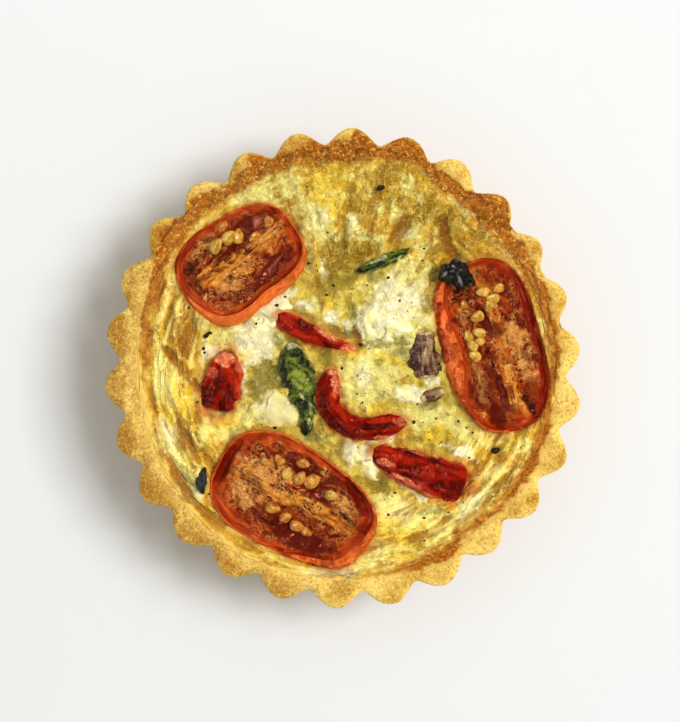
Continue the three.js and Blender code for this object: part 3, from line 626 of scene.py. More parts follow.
cheeses = {
    "cheeseRear": {
        "node": "cheese_rear", "x": 8.2, "y": 8.8, "rx": 7.8, "ry": 4.3, "turn": -14, "rise": 1.4, "phase": 0.4,
        "dull": 0.1, "fade": 0.7},
    "cheeseLeft": {
        "node": "cheese_left", "x": -15.6, "y": 10.6, "rx": 6.6, "ry": 3.6, "turn": 38, "rise": 0.85, "phase": 2.2,
        "dull": 0.12, "fade": 0.1},
    "cheeseMiddle": {
        "node": "cheese_middle", "x": -13.4, "y": -8.8, "rx": 5.4, "ry": 4.8, "turn": -30, "rise": 1.1, "phase": 1.1,
        "dull": 0.65, "fade": 0.8},
    "cheeseFront": {
        "node": "cheese_front", "x": 3.9, "y": -19.2, "rx": 5.2, "ry": 3, "turn": -36, "rise": 1, "phase": 3,
        "dull": 0, "fade": 0.5},
    "cheeseRight": {
        "node": "cheese_right", "x": 12.6, "y": -5.3, "rx": 4.2, "ry": 2.3, "turn": 0, "rise": 0.8, "phase": 4,
        "dull": 0.15, "fade": 0.6},
}


def bandOf(spec):
    rows = smoothPath([(p[0], p[1], p[3]) for p in spec["path"]], 24)
    end = np.linspace(-1, 1, len(rows))
    rows[:, 2] *= np.clip(1.15 * (1 - end ** 8), 0.25, 1)
    return rows


def tomatoShape(a, spec):
    # how far the outline lies from a plain ellipse, along and across
    square = 1 - 0.05 * np.cos(4 * a)
    return square, square * (1 - spec["taper"] * np.cos(a) + 0.03 * np.cos(3 * a + 0.5))


def tomatoDistance(x, y, spec):
    # roughly how far outside the tomato's outline a place lies, in millimetres
    p, q = turnedBy(x - spec["x"], y - spec["y"], radians(spec["turn"]))
    p, q = p / spec["halfLength"], q / spec["halfWidth"]
    long, wide = tomatoShape(np.arctan2(q, p), spec)
    return (np.hypot(p / long, q / wide) - 1) * (spec["halfLength"] + spec["halfWidth"]) / 2


def tomatoRim(x, y, spec):
    # height of the tomato's cut face, carried on past its outline
    away = turnedBy(x - spec["x"], y - spec["y"], radians(spec["leanTowards"]))[0]
    return pastryCase["height"] + spec["lift"] - math.tan(radians(spec["lean"])) * away


def moundAt(x, y, spec):
    # how far a lump of cheese lifts the custard
    return spec["rise"] * 0.75 * bell(ellipseDistance(x, y, *[spec[k] for k in ("x", "y", "rx", "ry", "turn")]), 1.25)


def nearest(distances):
    return np.minimum.reduce(list(distances))


# geometry nodes

def nodeTree(name, inputs):
    # a tree with named inputs, ready to be filled
    tree = bpy.data.node_groups.new(name, "GeometryNodeTree")
    tree.interface.new_socket("Geometry", in_out="INPUT", socket_type="NodeSocketGeometry")
    for label, value in inputs.items():
        kind = "NodeSocketFloat" if isinstance(value, float) else "NodeSocketInt"
        tree.interface.new_socket(label, in_out="INPUT", socket_type=kind).default_value = value
    tree.interface.new_socket("Material", in_out="INPUT", socket_type="NodeSocketMaterial")
    tree.interface.new_socket("Geometry", in_out="OUTPUT", socket_type="NodeSocketGeometry")
    return tree, tree.nodes.new("NodeGroupInput").outputs


def step(tree, kind, sockets=None, **settings):
    # one node with its settings and its inputs, by name or number
    node = tree.nodes.new(kind if kind.startswith(("Shader", "Function")) else "GeometryNode" + kind)
    for label, value in settings.items():
        setattr(node, label, value)
    for label, value in (sockets or {}).items():
        plug(node.inputs[label], value)
    return node.outputs


def named(tree, label):
    return step(tree, "InputNamedAttribute", {"Name": label}, data_type="FLOAT")["Attribute"]


def movedAlong(tree, geometry, direction, distance):
    shift = step(tree, "ShaderNodeVectorMath", {0: direction, "Scale": distance}, operation="SCALE")[0]
    return step(tree, "SetPosition", {"Geometry": geometry, "Offset": shift})[0]


def closed(tree, geometry, material):
    whole = step(tree, "RealizeInstances", {"Geometry": geometry})[0]
    dressed = step(tree, "SetMaterial", {"Geometry": whole, "Material": material})[0]
    plug(tree.nodes.new("NodeGroupOutput").inputs["Geometry"], dressed)
    return tree


def grown(source, tree, name, material, sizes, others):
    # runs the tree on the source and keeps the result as a plain mesh; the sizes are in millimetres
    values = {label: size * millimetre for label, size in sizes.items()} | others | {"Material": material}
    modifier = source.modifiers.new(tree.name, "NODES")
    modifier.node_group = tree
    for item in tree.interface.items_tree:
        if item.in_out == "INPUT" and item.name in values:
            modifier[item.identifier] = values[item.name]
    result = source.evaluated_get(bpy.context.evaluated_depsgraph_get())
    mesh = bpy.data.meshes.new_from_object(result)
    mesh.name = name
    bpy.data.objects.remove(source)
    return objectWith(name, mesh)


def flutedCaseTree():
    tree, into = nodeTree("flutedCase", {"Flutes": 26.0, "First Tip": 0.0, "Depth": 0.003, "Valley Rounding": 0.3,
                                         "Lumps": 0.0002, "Grain": 0.00006})
    place = step(tree, "InputPosition")[0]
    split = step(tree, "ShaderNodeSeparateXYZ", {0: place})
    angle = minus(sums("ARCTAN2", split["Y"], split["X"]), into["First Tip"])
    wave = sums("COSINE", times(angle, sums("DIVIDE", into["Flutes"], 2.0)))
    soft = into["Valley Rounding"]
    softSquare = times(soft, soft)
    curved = sums("SQRT", sums("MULTIPLY_ADD", wave, wave, softSquare))
    full = sums("SQRT", sums("ADD", 1.0, softSquare))
    lobe = sums("DIVIDE", minus(curved, soft), minus(full, soft))
    inwards = times(minus(1.0, lobe), named(tree, "fluteShare"), times(into["Depth"], -1.0))
    flat = step(tree, "ShaderNodeCombineXYZ", {"X": split["X"], "Y": split["Y"]})[0]
    outwards = step(tree, "ShaderNodeVectorMath", {0: flat}, operation="NORMALIZE")[0]
    kept = step(tree, "StoreNamedAttribute", {"Geometry": into["Geometry"], "Name": "lobe", "Value": lobe},
                data_type="FLOAT", domain="POINT")[0]
    fluted = movedAlong(tree, kept, outwards, inwards)
    # baked unevenness: broad lumps and a fine sandy grain
    lumps = step(tree, "ShaderNodeTexNoise", {"Vector": place, "Scale": 230.0, "Detail": 2.0})["Fac"]
    grain = step(tree, "ShaderNodeTexNoise", {"Vector": place, "Scale": 1100.0, "Detail": 3.0})["Fac"]
    height = times(minus(lumps, 0.5), into["Lumps"])
    height = times(sums("MULTIPLY_ADD", minus(grain, 0.5), into["Grain"], height), named(tree, "rough"))
    uneven = movedAlong(tree, fluted, step(tree, "InputNormal")[0], height)
    return closed(tree, uneven, into["Material"])


def scatteredBitsTree():
    tree, into = nodeTree("scatteredBits", {"Density": 60000.0, "Least": 0.0001, "Greatest": 0.0003, "Seed": 1})
    seed, density = into["Seed"], times(into["Density"], named(tree, "bits"))
    points = step(tree, "DistributePointsOnFaces", {"Mesh": into["Geometry"], "Density": density, "Seed": seed},
                  distribute_method="RANDOM")["Points"]
    bit = step(tree, "MeshIcoSphere", {"Radius": 1.0, "Subdivisions": 1})["Mesh"]
    size = step(tree, "FunctionNodeRandomValue", {"Min": into["Least"], "Max": into["Greatest"], "Seed": seed},
                data_type="FLOAT")["Value"]
    ranges = ((0.6, 0.5, 0.35), (1.5, 1.1, 0.8)), ((-0.5, -0.5, 0.0), (0.5, 0.5, 6.28))
    shape, turn = [step(tree, "FunctionNodeRandomValue", {0: least, 1: most, "Seed": seed},
                        data_type="FLOAT_VECTOR")[0] for least, most in ranges]
    scale = step(tree, "ShaderNodeVectorMath", {0: shape, "Scale": size}, operation="SCALE")[0]
    strewn = step(tree, "InstanceOnPoints", {"Points": points, "Instance": bit, "Rotation": turn, "Scale": scale})[0]
    return closed(tree, strewn, into["Material"])


def laidSeedsTree():
    tree, into = nodeTree("laidSeeds", {"Length": 0.0017, "Width": 0.0013, "Height": 0.0009, "Taper": 0.3,
                                        "Wrinkles": 0.0002})
    ball = step(tree, "MeshUVSphere", {"Segments": 20, "Rings": 12, "Radius": 1.0})["Mesh"]
    place = step(tree, "InputPosition")[0]
    split = step(tree, "ShaderNodeSeparateXYZ", {0: place})
    narrow = minus(1.0, times(split["X"], into["Taper"]))
    shaped = step(tree, "ShaderNodeCombineXYZ", {
        "X": times(split["X"], into["Length"]), "Y": times(split["Y"], into["Width"], narrow),
        "Z": times(split["Z"], into["Height"])})[0]
    drop = step(tree, "SetPosition", {"Geometry": ball, "Position": shaped})[0]
    tipX, tipY, turn, size = [named(tree, label) for label in ("tipX", "tipY", "turn", "size")]
    turn = step(tree, "ShaderNodeCombineXYZ", {"X": tipX, "Y": tipY, "Z": turn})[0]
    laid = step(tree, "InstanceOnPoints",
                {"Points": into["Geometry"], "Instance": drop, "Rotation": turn, "Scale": size})[0]
    whole = step(tree, "RealizeInstances", {"Geometry": laid})[0]
    noise = step(tree, "ShaderNodeTexNoise", {"Vector": place, "Scale": 700.0, "Detail": 2.0})["Fac"]
    height = times(minus(noise, 0.5), into["Wrinkles"])
    wrinkled = movedAlong(tree, whole, step(tree, "InputNormal")[0], height)
    rounded = step(tree, "SetShadeSmooth", {"Geometry": wrinkled})[0]
    return closed(tree, rounded, into["Material"])


flutedCase, scatteredBits, laidSeeds = flutedCaseTree(), scatteredBitsTree(), laidSeedsTree()


# pastry case

pastryLook = {
    "around": 26 * 28, "lumps": 0.35, "grain": 0.16,
    "golden": (229, 187, 84), "tan": (174, 122, 36), "pale": (250, 222, 130), "wall": (218, 150, 66),
    "ridge": (176, 104, 36), "dark": (160, 96, 22), "light": (255, 240, 168),
    "crumbs": 468000.0, "crumbSizes": {"Least": 0.12, "Greatest": 0.5},
}


def pastryProfile():
    # rows of share of the wall, height, inset and roughness, from the underside's rim to the floor inside
    height, floor = pastryCase["height"], pastryCase["floorThickness"]
    rows = [(1, 0.0, 1.1, 0.3), (1, 0.25, 0.45, 0.8), (1, 0.9, 0.0, 1)]
    rows += [(1, z, 0.0, 1) for z in np.linspace(1.4, height - 1.5, 40)]
    rows += [(1, height - 1.1, 0.03, 1), (1, height - 0.75, 0.12, 1), (1, height - 0.42, 0.27, 1),
             (1, height - 0.16, 0.5, 1), (1, height - 0.02, 0.8, 1)]
    top = pastryCase["rimCrown"]
    rows += [(blend(1, 0, s), height + 0.04 + top * sin(pi * s) ** 0.7, blend(1.0, -0.75, s), 1)
             for s in np.linspace(0.04, 0.96, 20)]
    rows += [(0, height - 0.12, -0.8, 1), (0, height - 0.35, -0.45, 1), (0, height - 0.8, -0.12, 0.6)]
    rows += [(0, z, 0.0, 0.3) for z in np.linspace(height - 1.6, floor + 1.6, 9)]
    rows += [(0, floor + 0.5, 0.4, 0.3), (0, floor, 1.4, 0.2)]
    return rows


def pastryMesh():
    count, height, floor = pastryLook["around"], pastryCase["height"], pastryCase["floorThickness"]
    angle = directions(count)
    rimRise = rimTop(angle) - height
    wobble = 0.35 * cloud(np.cos(angle) * 46, np.sin(angle) * 46, 9, 401, 2)
    # rings of radius, height, share of the flutes and roughness, from the underside up and over to the floor
    rings = [(radius, 0, 0, 0.1) for radius in (8, 20, 32, 39)]
    for share, z, inset, rough in pastryProfile():
        rise = min(max((z - floor) / (height - floor), 0), 1)
        outer = blend(pastryCase["baseTipRadius"], pastryCase["rimTipRadius"], min(z / height, 1.0))
        outer += wanderAt(angle) * rise
        inner = (blend(pastryCase["floorInnerRadius"], pastryCase["rimInnerRadius"], rise)
                 + rise * (0.15 + 0.5 * np.sin(3 * angle + 0.9)))
        radius = blend(inner, outer, share) - inset + wobble * rise * share * 0.5
        fluteShare = blend(0.3 / pastryCase["fluteDepth"] * rise, 1, share)
        rings.append((radius, z + rimRise * rise ** 3, fluteShare, rough))
    rings += [(radius, floor, 0, 0.1) for radius in (30, 18, 8)]
    points = [columns(r * np.cos(angle), r * np.sin(angle), z) for r, z, _, _ in rings]
    marks = {label: [0, *np.repeat([ring[column] for ring in rings], count), 0]
             for label, column in (("fluteShare", 2), ("rough", 3))}
    faces = [f[::-1] for f in ringFaces(len(rings), count)]
    return addMesh("pastryCasePlain", np.vstack([[(0, 0, 0)], *points, [(0, 0, floor)]]), faces, marks)


def readFrom(items, label, width=1):
    values = np.empty(len(items) * width, np.float32)
    items.foreach_get(label, values)
    return values.reshape(-1, width).squeeze()


def pastryMarks(piece):
    # where the rim is browned, tan at its tips and, as painted shade, on the left, paler inside, and where crumbs lie
    mesh = piece.data
    x, y, z = (readFrom(mesh.vertices, "co", 3) / millimetre).T
    lobe = readFrom(mesh.attributes["lobe"].data, "value")
    angle, radius = np.arctan2(y, x), np.hypot(x, y)
    degrees = np.degrees(angle)
    browned, _, strength = brownedAt(angle)
    ragged = radius + 1.3 * cloud(x, y, 4.5, 431) + 0.5 * cloud(x, y, 1.2, 433)
    toast = strength * (1 - ramp(ragged, browned - 0.4, browned + 0.8)) * ramp(z, 19.0, 21.5)
    toast = np.maximum(toast, 0.3 * strength * (1 - ramp(ragged, browned, browned + 2.4)) * ramp(z, 20, 22))
    outline = pastryCase["rimTipRadius"] + wanderAt(angle) - pastryCase["fluteDepth"] * (1 - lobe)
    fromEdge = outline - radius
    toast = toast * (1 - 0.8 * bell(fromEdge, 0.9 + 0.5 * cloud(x, y, 3, 439, 2)))
    tan = ramp(lobe, 0.35, 1.0) * bell(fromEdge - 2.6, 2.2) * ramp(z, 20.5, 22)
    # painted shade: the tan deepens on the left side, away from the lamp
    leftShade = ramp(np.cos(angle - radians(200)), 0.1, 0.9)
    streaky = np.clip(0.7 + 1.2 * cloud(x, y, 2.2, 437, 3), 0, 1.2)
    tan = np.maximum(tan * (0.25 + 0.75 * leftShade), streaky * leftShade * ramp(z, 20, 21.5))
    frontSpot = bell(degrees + 107, 9)
    tan = np.maximum(tan, 0.9 * frontSpot * ramp(z, 20.5, 22) * ramp(radius, 44, 46))
    paler = ramp(z, 21, 22) * ramp(radius, 47.5, 43.5) * 0.5 + bell(fromEdge, 0.55) * ramp(z, 20.8, 21.8)
    crumbly = bell(degrees - 103, 5) + bell(degrees - 133, 9)
    crumbly += 0.35 * bell(degrees + 143, 9)
    upwards = np.where(readFrom(mesh.vertex_normals, "vector", 3)[:, 2] > 0.3, 1, 0)
    bits = crumbly * ramp(z, 21.6, 22.0) * (radius > browned - 0.5) * upwards
    addMarks(mesh, {"toast": toast, "tan": tan, "paler": paler, "side": 1 - ramp(z, 17.5, 21.5),
                    "crisp": crispAt(angle), "bits": bits + 0.012 * ramp(z, 0.8, 1.6)})


def pastryMaterial():
    material, tree, shader = newMaterial("bakedPastry")
    tone, at = tonesOf(pastryLook), marksIn(tree, "tan paler side lobe toast")
    patches = noiseTexture(tree, 7, 3)
    base = mixColour(spread(patches, 0.4, 0.66), tone["golden"], tone["pale"])
    base = over(base, tone["tan"], spread(patches, 0.5, 0.34), 0.75)
    # the tan mark: browned tips and a browned spot at the front, and painted shade on the left side
    base = over(base, tone["tan"], at["tan"], 0.75)
    base = over(base, tone["pale"], at["paler"], 0.75)
    # the wall stands against the tin, so its ridges brown first
    base = over(base, tone["wall"], at["side"], 0.5)
    ridge = times(at["side"], spread(at["lobe"], 0.3, 1.0), spread(patches, 0.66, 0.36, 0.35, 1.0))
    base = over(base, tone["ridge"], ridge, 0.8)
    base, speck = mottle(base, tone["dark"], tone["light"], 0.5, 0.7, 0.6)
    crust, crustHeight = crusted(speck)
    toasted = spread(torn(speck, 0.8, at["toast"]), 0.1, 0.7)
    base = over(base, crust, toasted, spread(at["toast"], 0.0, 0.1))
    grain = sums("MULTIPLY_ADD", times(crustHeight, at["toast"]), 1.5, noiseTexture(tree, 0.7, 5, 0.68))
    finish(shader, base, 0.68, 0.15, grain, 0.8, 0.5)
    return material


pastryFinish = pastryMaterial()
pastry = grown(pastryMesh(), flutedCase, "pastryCase", pastryFinish,
               {"Depth": pastryCase["fluteDepth"], "Lumps": pastryLook["lumps"], "Grain": pastryLook["grain"]},
               {"Flutes": float(pastryCase["flutes"]), "First Tip": radians(pastryCase["firstTip"]),
                "Valley Rounding": pastryCase["valleyRounding"]})
pastry.data.shade_smooth()
pastryMarks(pastry)
dress(pastry, pastryFinish, "pastry", "pastry_case")
crumbs = grown(objectWith("crumbSource", pastry.data.copy()), scatteredBits, "pastryCrumbs", pastryFinish,
               pastryLook["crumbSizes"], {"Density": pastryLook["crumbs"], "Seed": 5})
dress(crumbs, pastryFinish, "pastry")
print("pastry case baked:", len(pastry.data.polygons), "faces,", len(crumbs.data.polygons), "crumb faces")


# custard

custardLook = {
    "grid": 296, "skirtHeights": (19.2, 15.0, 10.0, 6.0, 4.4), "bottom": 3.5, "overlap": 2.9, "edgeRise": 0.3,
    "edgeDip": 0.9, "lumps": 0.6, "folds": 0.75, "wrinkles": 0.6, "curds": 0.55, "strandRise": 0.65,
    "strandHalfWidth": 0.5, "grain": 0.12, "crisp": 0.6, "swollen": 0.5, "furrows": 0.5, "meniscus": 0.55,
    "specks": 150000.0, "speckSizes": {"Least": 0.06, "Greatest": 0.2},
    "custard": (228, 206, 92), "curd": (226, 182, 50), "cream": (248, 237, 148), "milk": (253, 248, 214),
    "yolk": (250, 214, 62), "ochre": (208, 158, 40), "olive": (168, 146, 38), "grey": (164, 158, 94),
    # below: painted shade for the hollows and between strands, and painted highlights for strands, crumbs and light
    # sand specks
    "hollow": (158, 106, 12), "rearHollowShade": (168, 126, 30), "middleHollowShade": (160, 142, 58),
    "strandShade": (152, 98, 12), "strandHighlight": (255, 240, 140), "rearStrandShade": (170, 130, 32),
    "rearStrandHighlight": (252, 230, 132), "pale": (255, 240, 144), "dull": (170, 116, 20), "furrow": (160, 98, 14),
    "crumbHighlight": (255, 244, 172), "sandDark": (128, 96, 20), "sandHighlight": (252, 236, 136),
    "blush": (206, 112, 46), "oil": (190, 122, 44), "crust": (240, 204, 108),
}

# tones baked into the surface: x, y, half widths, turn and, unless it is 1, strength
custardPatches = {
    "ochre": [(5, 41, 16, 3, 0, 0.55), (8, 36, 12, 7, 0, 0.5), (4.3, 31.6, 2.6, 2.2, -30, 0.85),
        (6.6, 28.6, 1.8, 2.2, 0, 0.7), (-9, 40.6, 1.4, 2.6, -20, 0.7), (3.6, 42, 1.8, 1.2, 0, 0.6),
        (8.6, 40, 1.4, 3, 0, 0.6), (12.6, 36, 1.6, 4, -8, 0.6), (28, 27, 11, 6, -40, 0.45), (37, 18, 5, 6, -60, 0.55),
        (-36.5, 17, 2.6, 9, -12, 0.7), (-34, 7, 3.4, 6.4, 15, 0.9), (-40, 4, 1.8, 6, 0, 0.5),
        (-39.5, -9, 1.6, 7, 4, 0.45), (-32.6, -13, 2.4, 5, 16, 0.4), (-33.5, -27, 4, 2, -50, 0.5),
        (35, -22.6, 8, 2.4, 55, 0.75), (29, -19, 3, 4, 0, 0.5), (18.4, -38.6, 4, 1.8, 20, 0.9),
        (11, -41, 5, 1.2, 10, 0.6), (43, 2, 2.4, 12, 0, 0.8), (-30, 33, 5, 2.6, 45, 0.85),
        (21.6, 26.4, 1.4, 5, 8, 0.8), (12.4, -1.9, 1.8, 0.9, -32), (-0.6, 3.9, 2, 0.9, -20, 0.6),
        (-6.2, 17.6, 1.6, 2.8, 0, 0.4), (-1.4, 14.6, 3, 2.6, 0, 0.2), (23, 31, 4, 3, -45, 0.5),
        (32, -13, 4, 2, 40, 0.4), (-36, -20, 2.4, 7, 26, 0.5), (14, -13.6, 1.6, 1.4, 0, 0.5),
        (6, -24, 3, 2, -30, 0.4)],
    "olive": [(-1, 23.4, 4.8, 4.2, -12, 0.85), (-2, 18.4, 2.6, 2.4, 0, 0.75), (4, 24.4, 5, 1.3, 20, 0.8),
        (12, 29.4, 1.5, 3.2, -25, 0.7), (16.4, 33, 1.5, 3, 0, 0.6), (-7.6, 36.4, 1.7, 2.8, 0, 0.7),
        (9.6, 34, 1.4, 2.6, 0, 0.6), (11, 40, 2, 2, 0, 0.4), (17.2, 13.4, 1.3, 2.5, 15, 0.95),
        (16, 16.6, 2.2, 2.2, 0, 0.4), (18.4, 19, 0.9, 4, 0, 0.6), (20, 31, 2.4, 3, 0, 0.5), (-16, -1.6, 3.8, 4.2, 0),
        (-10, 6, 3.4, 1.2, -10), (-14.4, 5.4, 1, 2, 0, 0.6), (-6, -13.4, 2.6, 2.2, 0, 0.7),
        (7.6, -24.9, 3.4, 1.9, -30), (17, -29.4, 4.6, 1.2, -6, 0.7), (15, -36.6, 3.4, 2, 20, 0.5),
        (22, -31.4, 2.4, 1.4, 30, 0.6), (32.4, -25.4, 6, 1.3, 48, 0.75), (33, -18, 3.4, 1.6, 60, 0.5),
        (37, -14, 1.6, 4, 20, 0.5), (-33.4, -20, 1.8, 6, 25, 0.75), (-30, -16, 1.2, 4, 24, 0.6),
        (-36.6, 9, 1.6, 4, 0, 0.4), (-19.6, -4.4, 1.6, 2, 0, 0.4), (8.2, -5.6, 1.4, 1, 0, 0.8),
        (11.4, 2.2, 1.6, 1.4, 0, 0.7), (4, 6.2, 3.4, 0.8, -12, 0.7), (13.6, -9.2, 2.4, 0.8, 20, 0.6),
        (1.4, 18.4, 2.6, 1.6, 20, 0.7), (-4.6, 4.4, 2.6, 1.7, 0, 0.55), (26.8, -21, 1, 2.6, 10, 0.6),
        (24.6, 13, 1.2, 5, 0, 0.4)],
    "cream": [(-16.6, 36, 7.4, 2.8, 10), (-12.4, 38.6, 3.6, 2.4, 20, 0.8), (-5.4, 30.4, 4.2, 4, 0),
        (-8.4, 33, 3, 2.6, 0, 0.9), (0.8, 39, 2.4, 0.8, -5, 0.9), (1.7, 29.8, 1.8, 2.8, 30, 0.9),
        (5.6, 36.4, 0.8, 1.8, 10, 0.8), (10.7, 32, 1, 2.6, 15, 0.8), (13.3, 38, 1.3, 2.6, 0, 0.85),
        (14.4, 29.2, 1.6, 2.4, 20, 0.9), (15.8, 34.6, 0.9, 1.4, 0, 0.8), (24, 33.4, 2.8, 1.2, -45, 0.8),
        (4, 27.1, 6.4, 1.1, 4, 0.85), (17.2, 25.4, 2.8, 1.3, 20, 0.8), (11, 15, 7, 6, 0), (13, 19.4, 3.6, 4, 20),
        (16.4, 22, 1.5, 3, 0, 0.9), (9, 11, 9, 3.6, 0), (-9, 26, 1.8, 4, 0, 0.8), (-6, 12.6, 3, 2, 0, 0.8),
        (-21, 6, 6.4, 5, 0, 0.9), (-16.6, 6, 4, 6, 0), (4.8, -2.4, 7, 6.4, 0), (12, 9, 7, 8, 0, 0.9),
        (-19.6, -9.4, 3.4, 3, 0, 0.7), (-26, -12, 5, 2.4, 30, 0.7), (17.6, -10.2, 6, 2.8, 0, 0.9),
        (24.6, -11, 3, 3.6, 0, 0.8), (9, -28.2, 4.4, 2, -10, 0.95), (13.4, -31.6, 6.4, 3.6, 0, 0.9),
        (6, -38, 5, 2.6, 30, 0.9), (-2, -42, 8, 1.6, 5, 0.9), (26.4, -28.6, 6.4, 2, 45),
        (30.4, -23.4, 4.4, 1.4, 50, 0.8), (20, -35, 3.6, 1.4, 40, 0.7), (38.6, -17, 1.2, 3, 20, 0.7),
        (-36.4, -4.4, 3.4, 4.6, 0, 0.95), (-36.2, -14, 2.4, 6.4, 14, 0.95), (-32, -24.6, 3.4, 3.4, 0, 0.9),
        (-38.6, 1, 1.2, 3, 0, 0.7), (31, -14.8, 3, 1, 20, 0.5), (-29, 10, 2.4, 1.4, 0, 0.8),
        (28, -16, 2.6, 3, 0, 0.6), (-20, 31.4, 9, 1.6, 8, 0.8), (7, 32.6, 0.8, 1.2, 0, 0.6),
        (-24, -14, 3, 1.4, 20, 0.6)],
    "milk": [(6.8, 9, 5.6, 4.6, 0), (11, 14, 6.4, 5.6, 0, 0.6), (-16.6, 11.4, 5.2, 3.8, 35),
        (-17.6, 5.6, 3.4, 4.6, 0, 0.9), (-14, -8.6, 4.2, 3.4, 0, 0.75), (3, -18.2, 4.2, 2.4, -35),
        (14, -5.4, 4, 2, -6), (1.8, 29.9, 1, 2.2, 30, 0.6), (-20, 6, 3.4, 3, 0, 0.6),
        (24, -17.1, 3.2, 1.2, -12, 0.95), (-2.6, 10.2, 1.8, 1.4, 0, 0.9), (1, 9.6, 1.4, 1.2, 0, 0.8),
        (-8, 13, 2, 1.4, 0, 0.7), (-4, 20.6, 0.9, 2.4, 10, 0.4), (13.6, 28.4, 1.5, 1.5, 0, 0.5),
        (-5.4, 31, 2.6, 2.4, 0, 0.35), (8, -14.8, 3.8, 0.8, 8, 0.95), (-2, -42.6, 6, 1.2, 5, 0.6),
        (26, -29, 5.4, 1, 45, 0.6), (-31, -25.4, 2.4, 2.2, 0, 0.5), (-27, 3, 2, 1.2, 40, 0.8),
        (-21, -2, 1.2, 3.6, 0, 0.7), (14, -25, 4.4, 0.7, -36, 0.8), (-12.8, 15, 3.2, 1.2, 30, 0.9),
        (18.4, -3, 2, 1.2, -20, 0.8), (4, -1, 2.2, 3, 0, 0.35), (12, -30, 2.6, 1.6, 0, 0.35),
        (-36.4, -15, 1, 5, 14, 0.5), (-28.6, 3.6, 1.4, 2.6, 0, 0.7)],
    "yolk": [(-3, 37, 5.4, 3.8, 0), (-1.6, 33.8, 3.8, 1.8, 0), (2.4, 36, 3, 3, 0, 0.9), (19.6, -13.6, 3.2, 2, 0),
        (25, -9.6, 2, 2, 0, 0.6), (9.6, 1.8, 2.4, 1.4, 0, 0.6), (2, 3.2, 2.4, 1.4, 0, 0.7),
        (7.4, -8.2, 2.6, 1.2, 0, 0.6), (2.4, -7, 1.4, 2, 0, 0.4), (10, -33.8, 3.2, 3, 0, 0.95),
        (15.4, -28.6, 2.6, 1.8, 0, 0.7), (-19.2, 7, 1.3, 1.3, 0, 0.8), (-25, -11.4, 3.2, 1.6, 20, 0.9),
        (-3, 13.6, 2.6, 1.6, 0, 0.6), (4.4, 13.8, 1.6, 2, 0, 0.5), (28, -17, 2.6, 2, 0, 0.7),
        (12, -14, 2, 1.2, 0, 0.5), (-34, -6, 2, 5, 10, 0.6), (-37, -9, 1.4, 5, 8, 0.5), (14, -37.4, 3, 1.2, 20, 0.4),
        (16, -33.6, 2.4, 1.2, 20, 0.5), (6, 42.4, 3, 1, 0, 0.4), (-14, 33.6, 4, 1, 8, 0.4), (-1, 42, 3, 1.4, 0, 0.5)],
    # grey: translucent grey-olive custard; the row at 0.4, 7 is a painted shadow under the rear cheese
    "grey": [(-16, -2, 3.4, 4.2, 0, 0.85), (-14, -9.6, 3.4, 2.4, 0, 0.45), (9, 5.2, 5.4, 1, 8, 0.8),
        (-7.1, 22.6, 1.4, 2.8, 10, 0.95), (6.3, 19.2, 1.8, 1.3, -30, 0.85), (2, 11, 1, 1.6, 20, 0.6),
        (-14.4, 7, 1.2, 3.4, 0, 0.8), (4, 27.6, 5.4, 0.6, 4, 0.5), (17.4, 25.6, 2.4, 0.8, 20, 0.6),
        (17.6, -7.2, 3, 1.4, 15, 0.8), (-8, 12, 2, 1, -10, 0.6), (-33, -23, 2, 4, 30, 0.6),
        (-6.4, -14, 2.6, 1.6, 0, 0.6), (18, -30, 4, 1.2, -10, 0.5), (-2, -43.2, 6, 0.8, 4, 0.45),
        (29, -27, 5, 0.8, 45, 0.4), (0.4, 7, 4.6, 0.9, -20), (11.6, 3.2, 2, 1.2, 0, 0.7), (5, 4.4, 3, 0.7, -6, 0.8)],
    "toast": [(-43.4, -3, 1.5, 1.6, 0, 0.9), (42.4, -17.8, 2.4, 2.6, 0, 0.9), (-40.6, 6, 1.6, 1.4, 0, 0.4),
        (12, 41.6, 5, 1.6, 0, 0.35), (26, 31, 6, 3, -40, 0.2), (34, 24, 5, 3, -50, 0.3), (38.5, 16, 2.6, 4, 20, 0.5),
        (-36, 26, 2, 4, -30, 0.55), (5.4, 30, 1.4, 2, -20, 0.4), (-30, 34, 3, 1.6, 45, 0.6),
        (12.6, -2, 1, 0.6, -32, 0.6), (-38, 17, 0.8, 5, -14, 0.6)],
}

# furrows, carved into the surface and painted darker as shade: rows of x, y, half width, then the strength
custardFurrows = [
    ([(-37, 4, 0.5), (-34.6, 0.8, 0.7), (-31.8, -2.2, 0.6), (-29.4, -5.4, 0.5)], 1),
    ([(-36, 12.4, 0.4), (-34.8, 8, 0.5), (-34, 4, 0.4)], 0.7),
    ([(-31.6, 10.4, 0.4), (-31.4, 6.6, 0.5), (-32.6, 3, 0.4)], 0.7),
    ([(-33.6, 11.6, 0.3), (-32.9, 7.6, 0.4), (-33.6, 4.4, 0.3)], 0.6),
    ([(20.6, 31, 0.6), (21.2, 27, 0.9), (22.6, 23.4, 0.7)], 0.9),
    ([(9.8, 26.4, 0.5), (11.4, 28.6, 0.8), (12.8, 31.4, 0.5)], 0.7),
    ([(2.2, 8.6, 0.3), (2.4, 6.8, 0.5), (3.6, 4.8, 0.5)], 0.9),
    ([(-8.6, 11.2, 0.2), (-5, 9.6, 0.4), (-1.4, 7.6, 0.4), (3.6, 5, 0.2)], 0.55),
    ([(-34.6, -10, 0.3), (-33, -14, 0.5), (-30.4, -19, 0.4)], 0.7),
    ([(-37.6, -17, 0.3), (-35.2, -22, 0.5), (-32, -27, 0.4)], 0.7),
    ([(24, -32.6, 0.4), (29, -28.6, 0.5), (33.6, -23.6, 0.5), (36.4, -19, 0.4)], 0.6),
    ([(27, -26.4, 0.3), (30.6, -22.4, 0.4), (33.2, -18.4, 0.3)], 0.6),
    ([(-5.6, 18.6, 0.5), (-5, 14.4, 0.5), (-4.4, 12, 0.3)], 0.6),
]

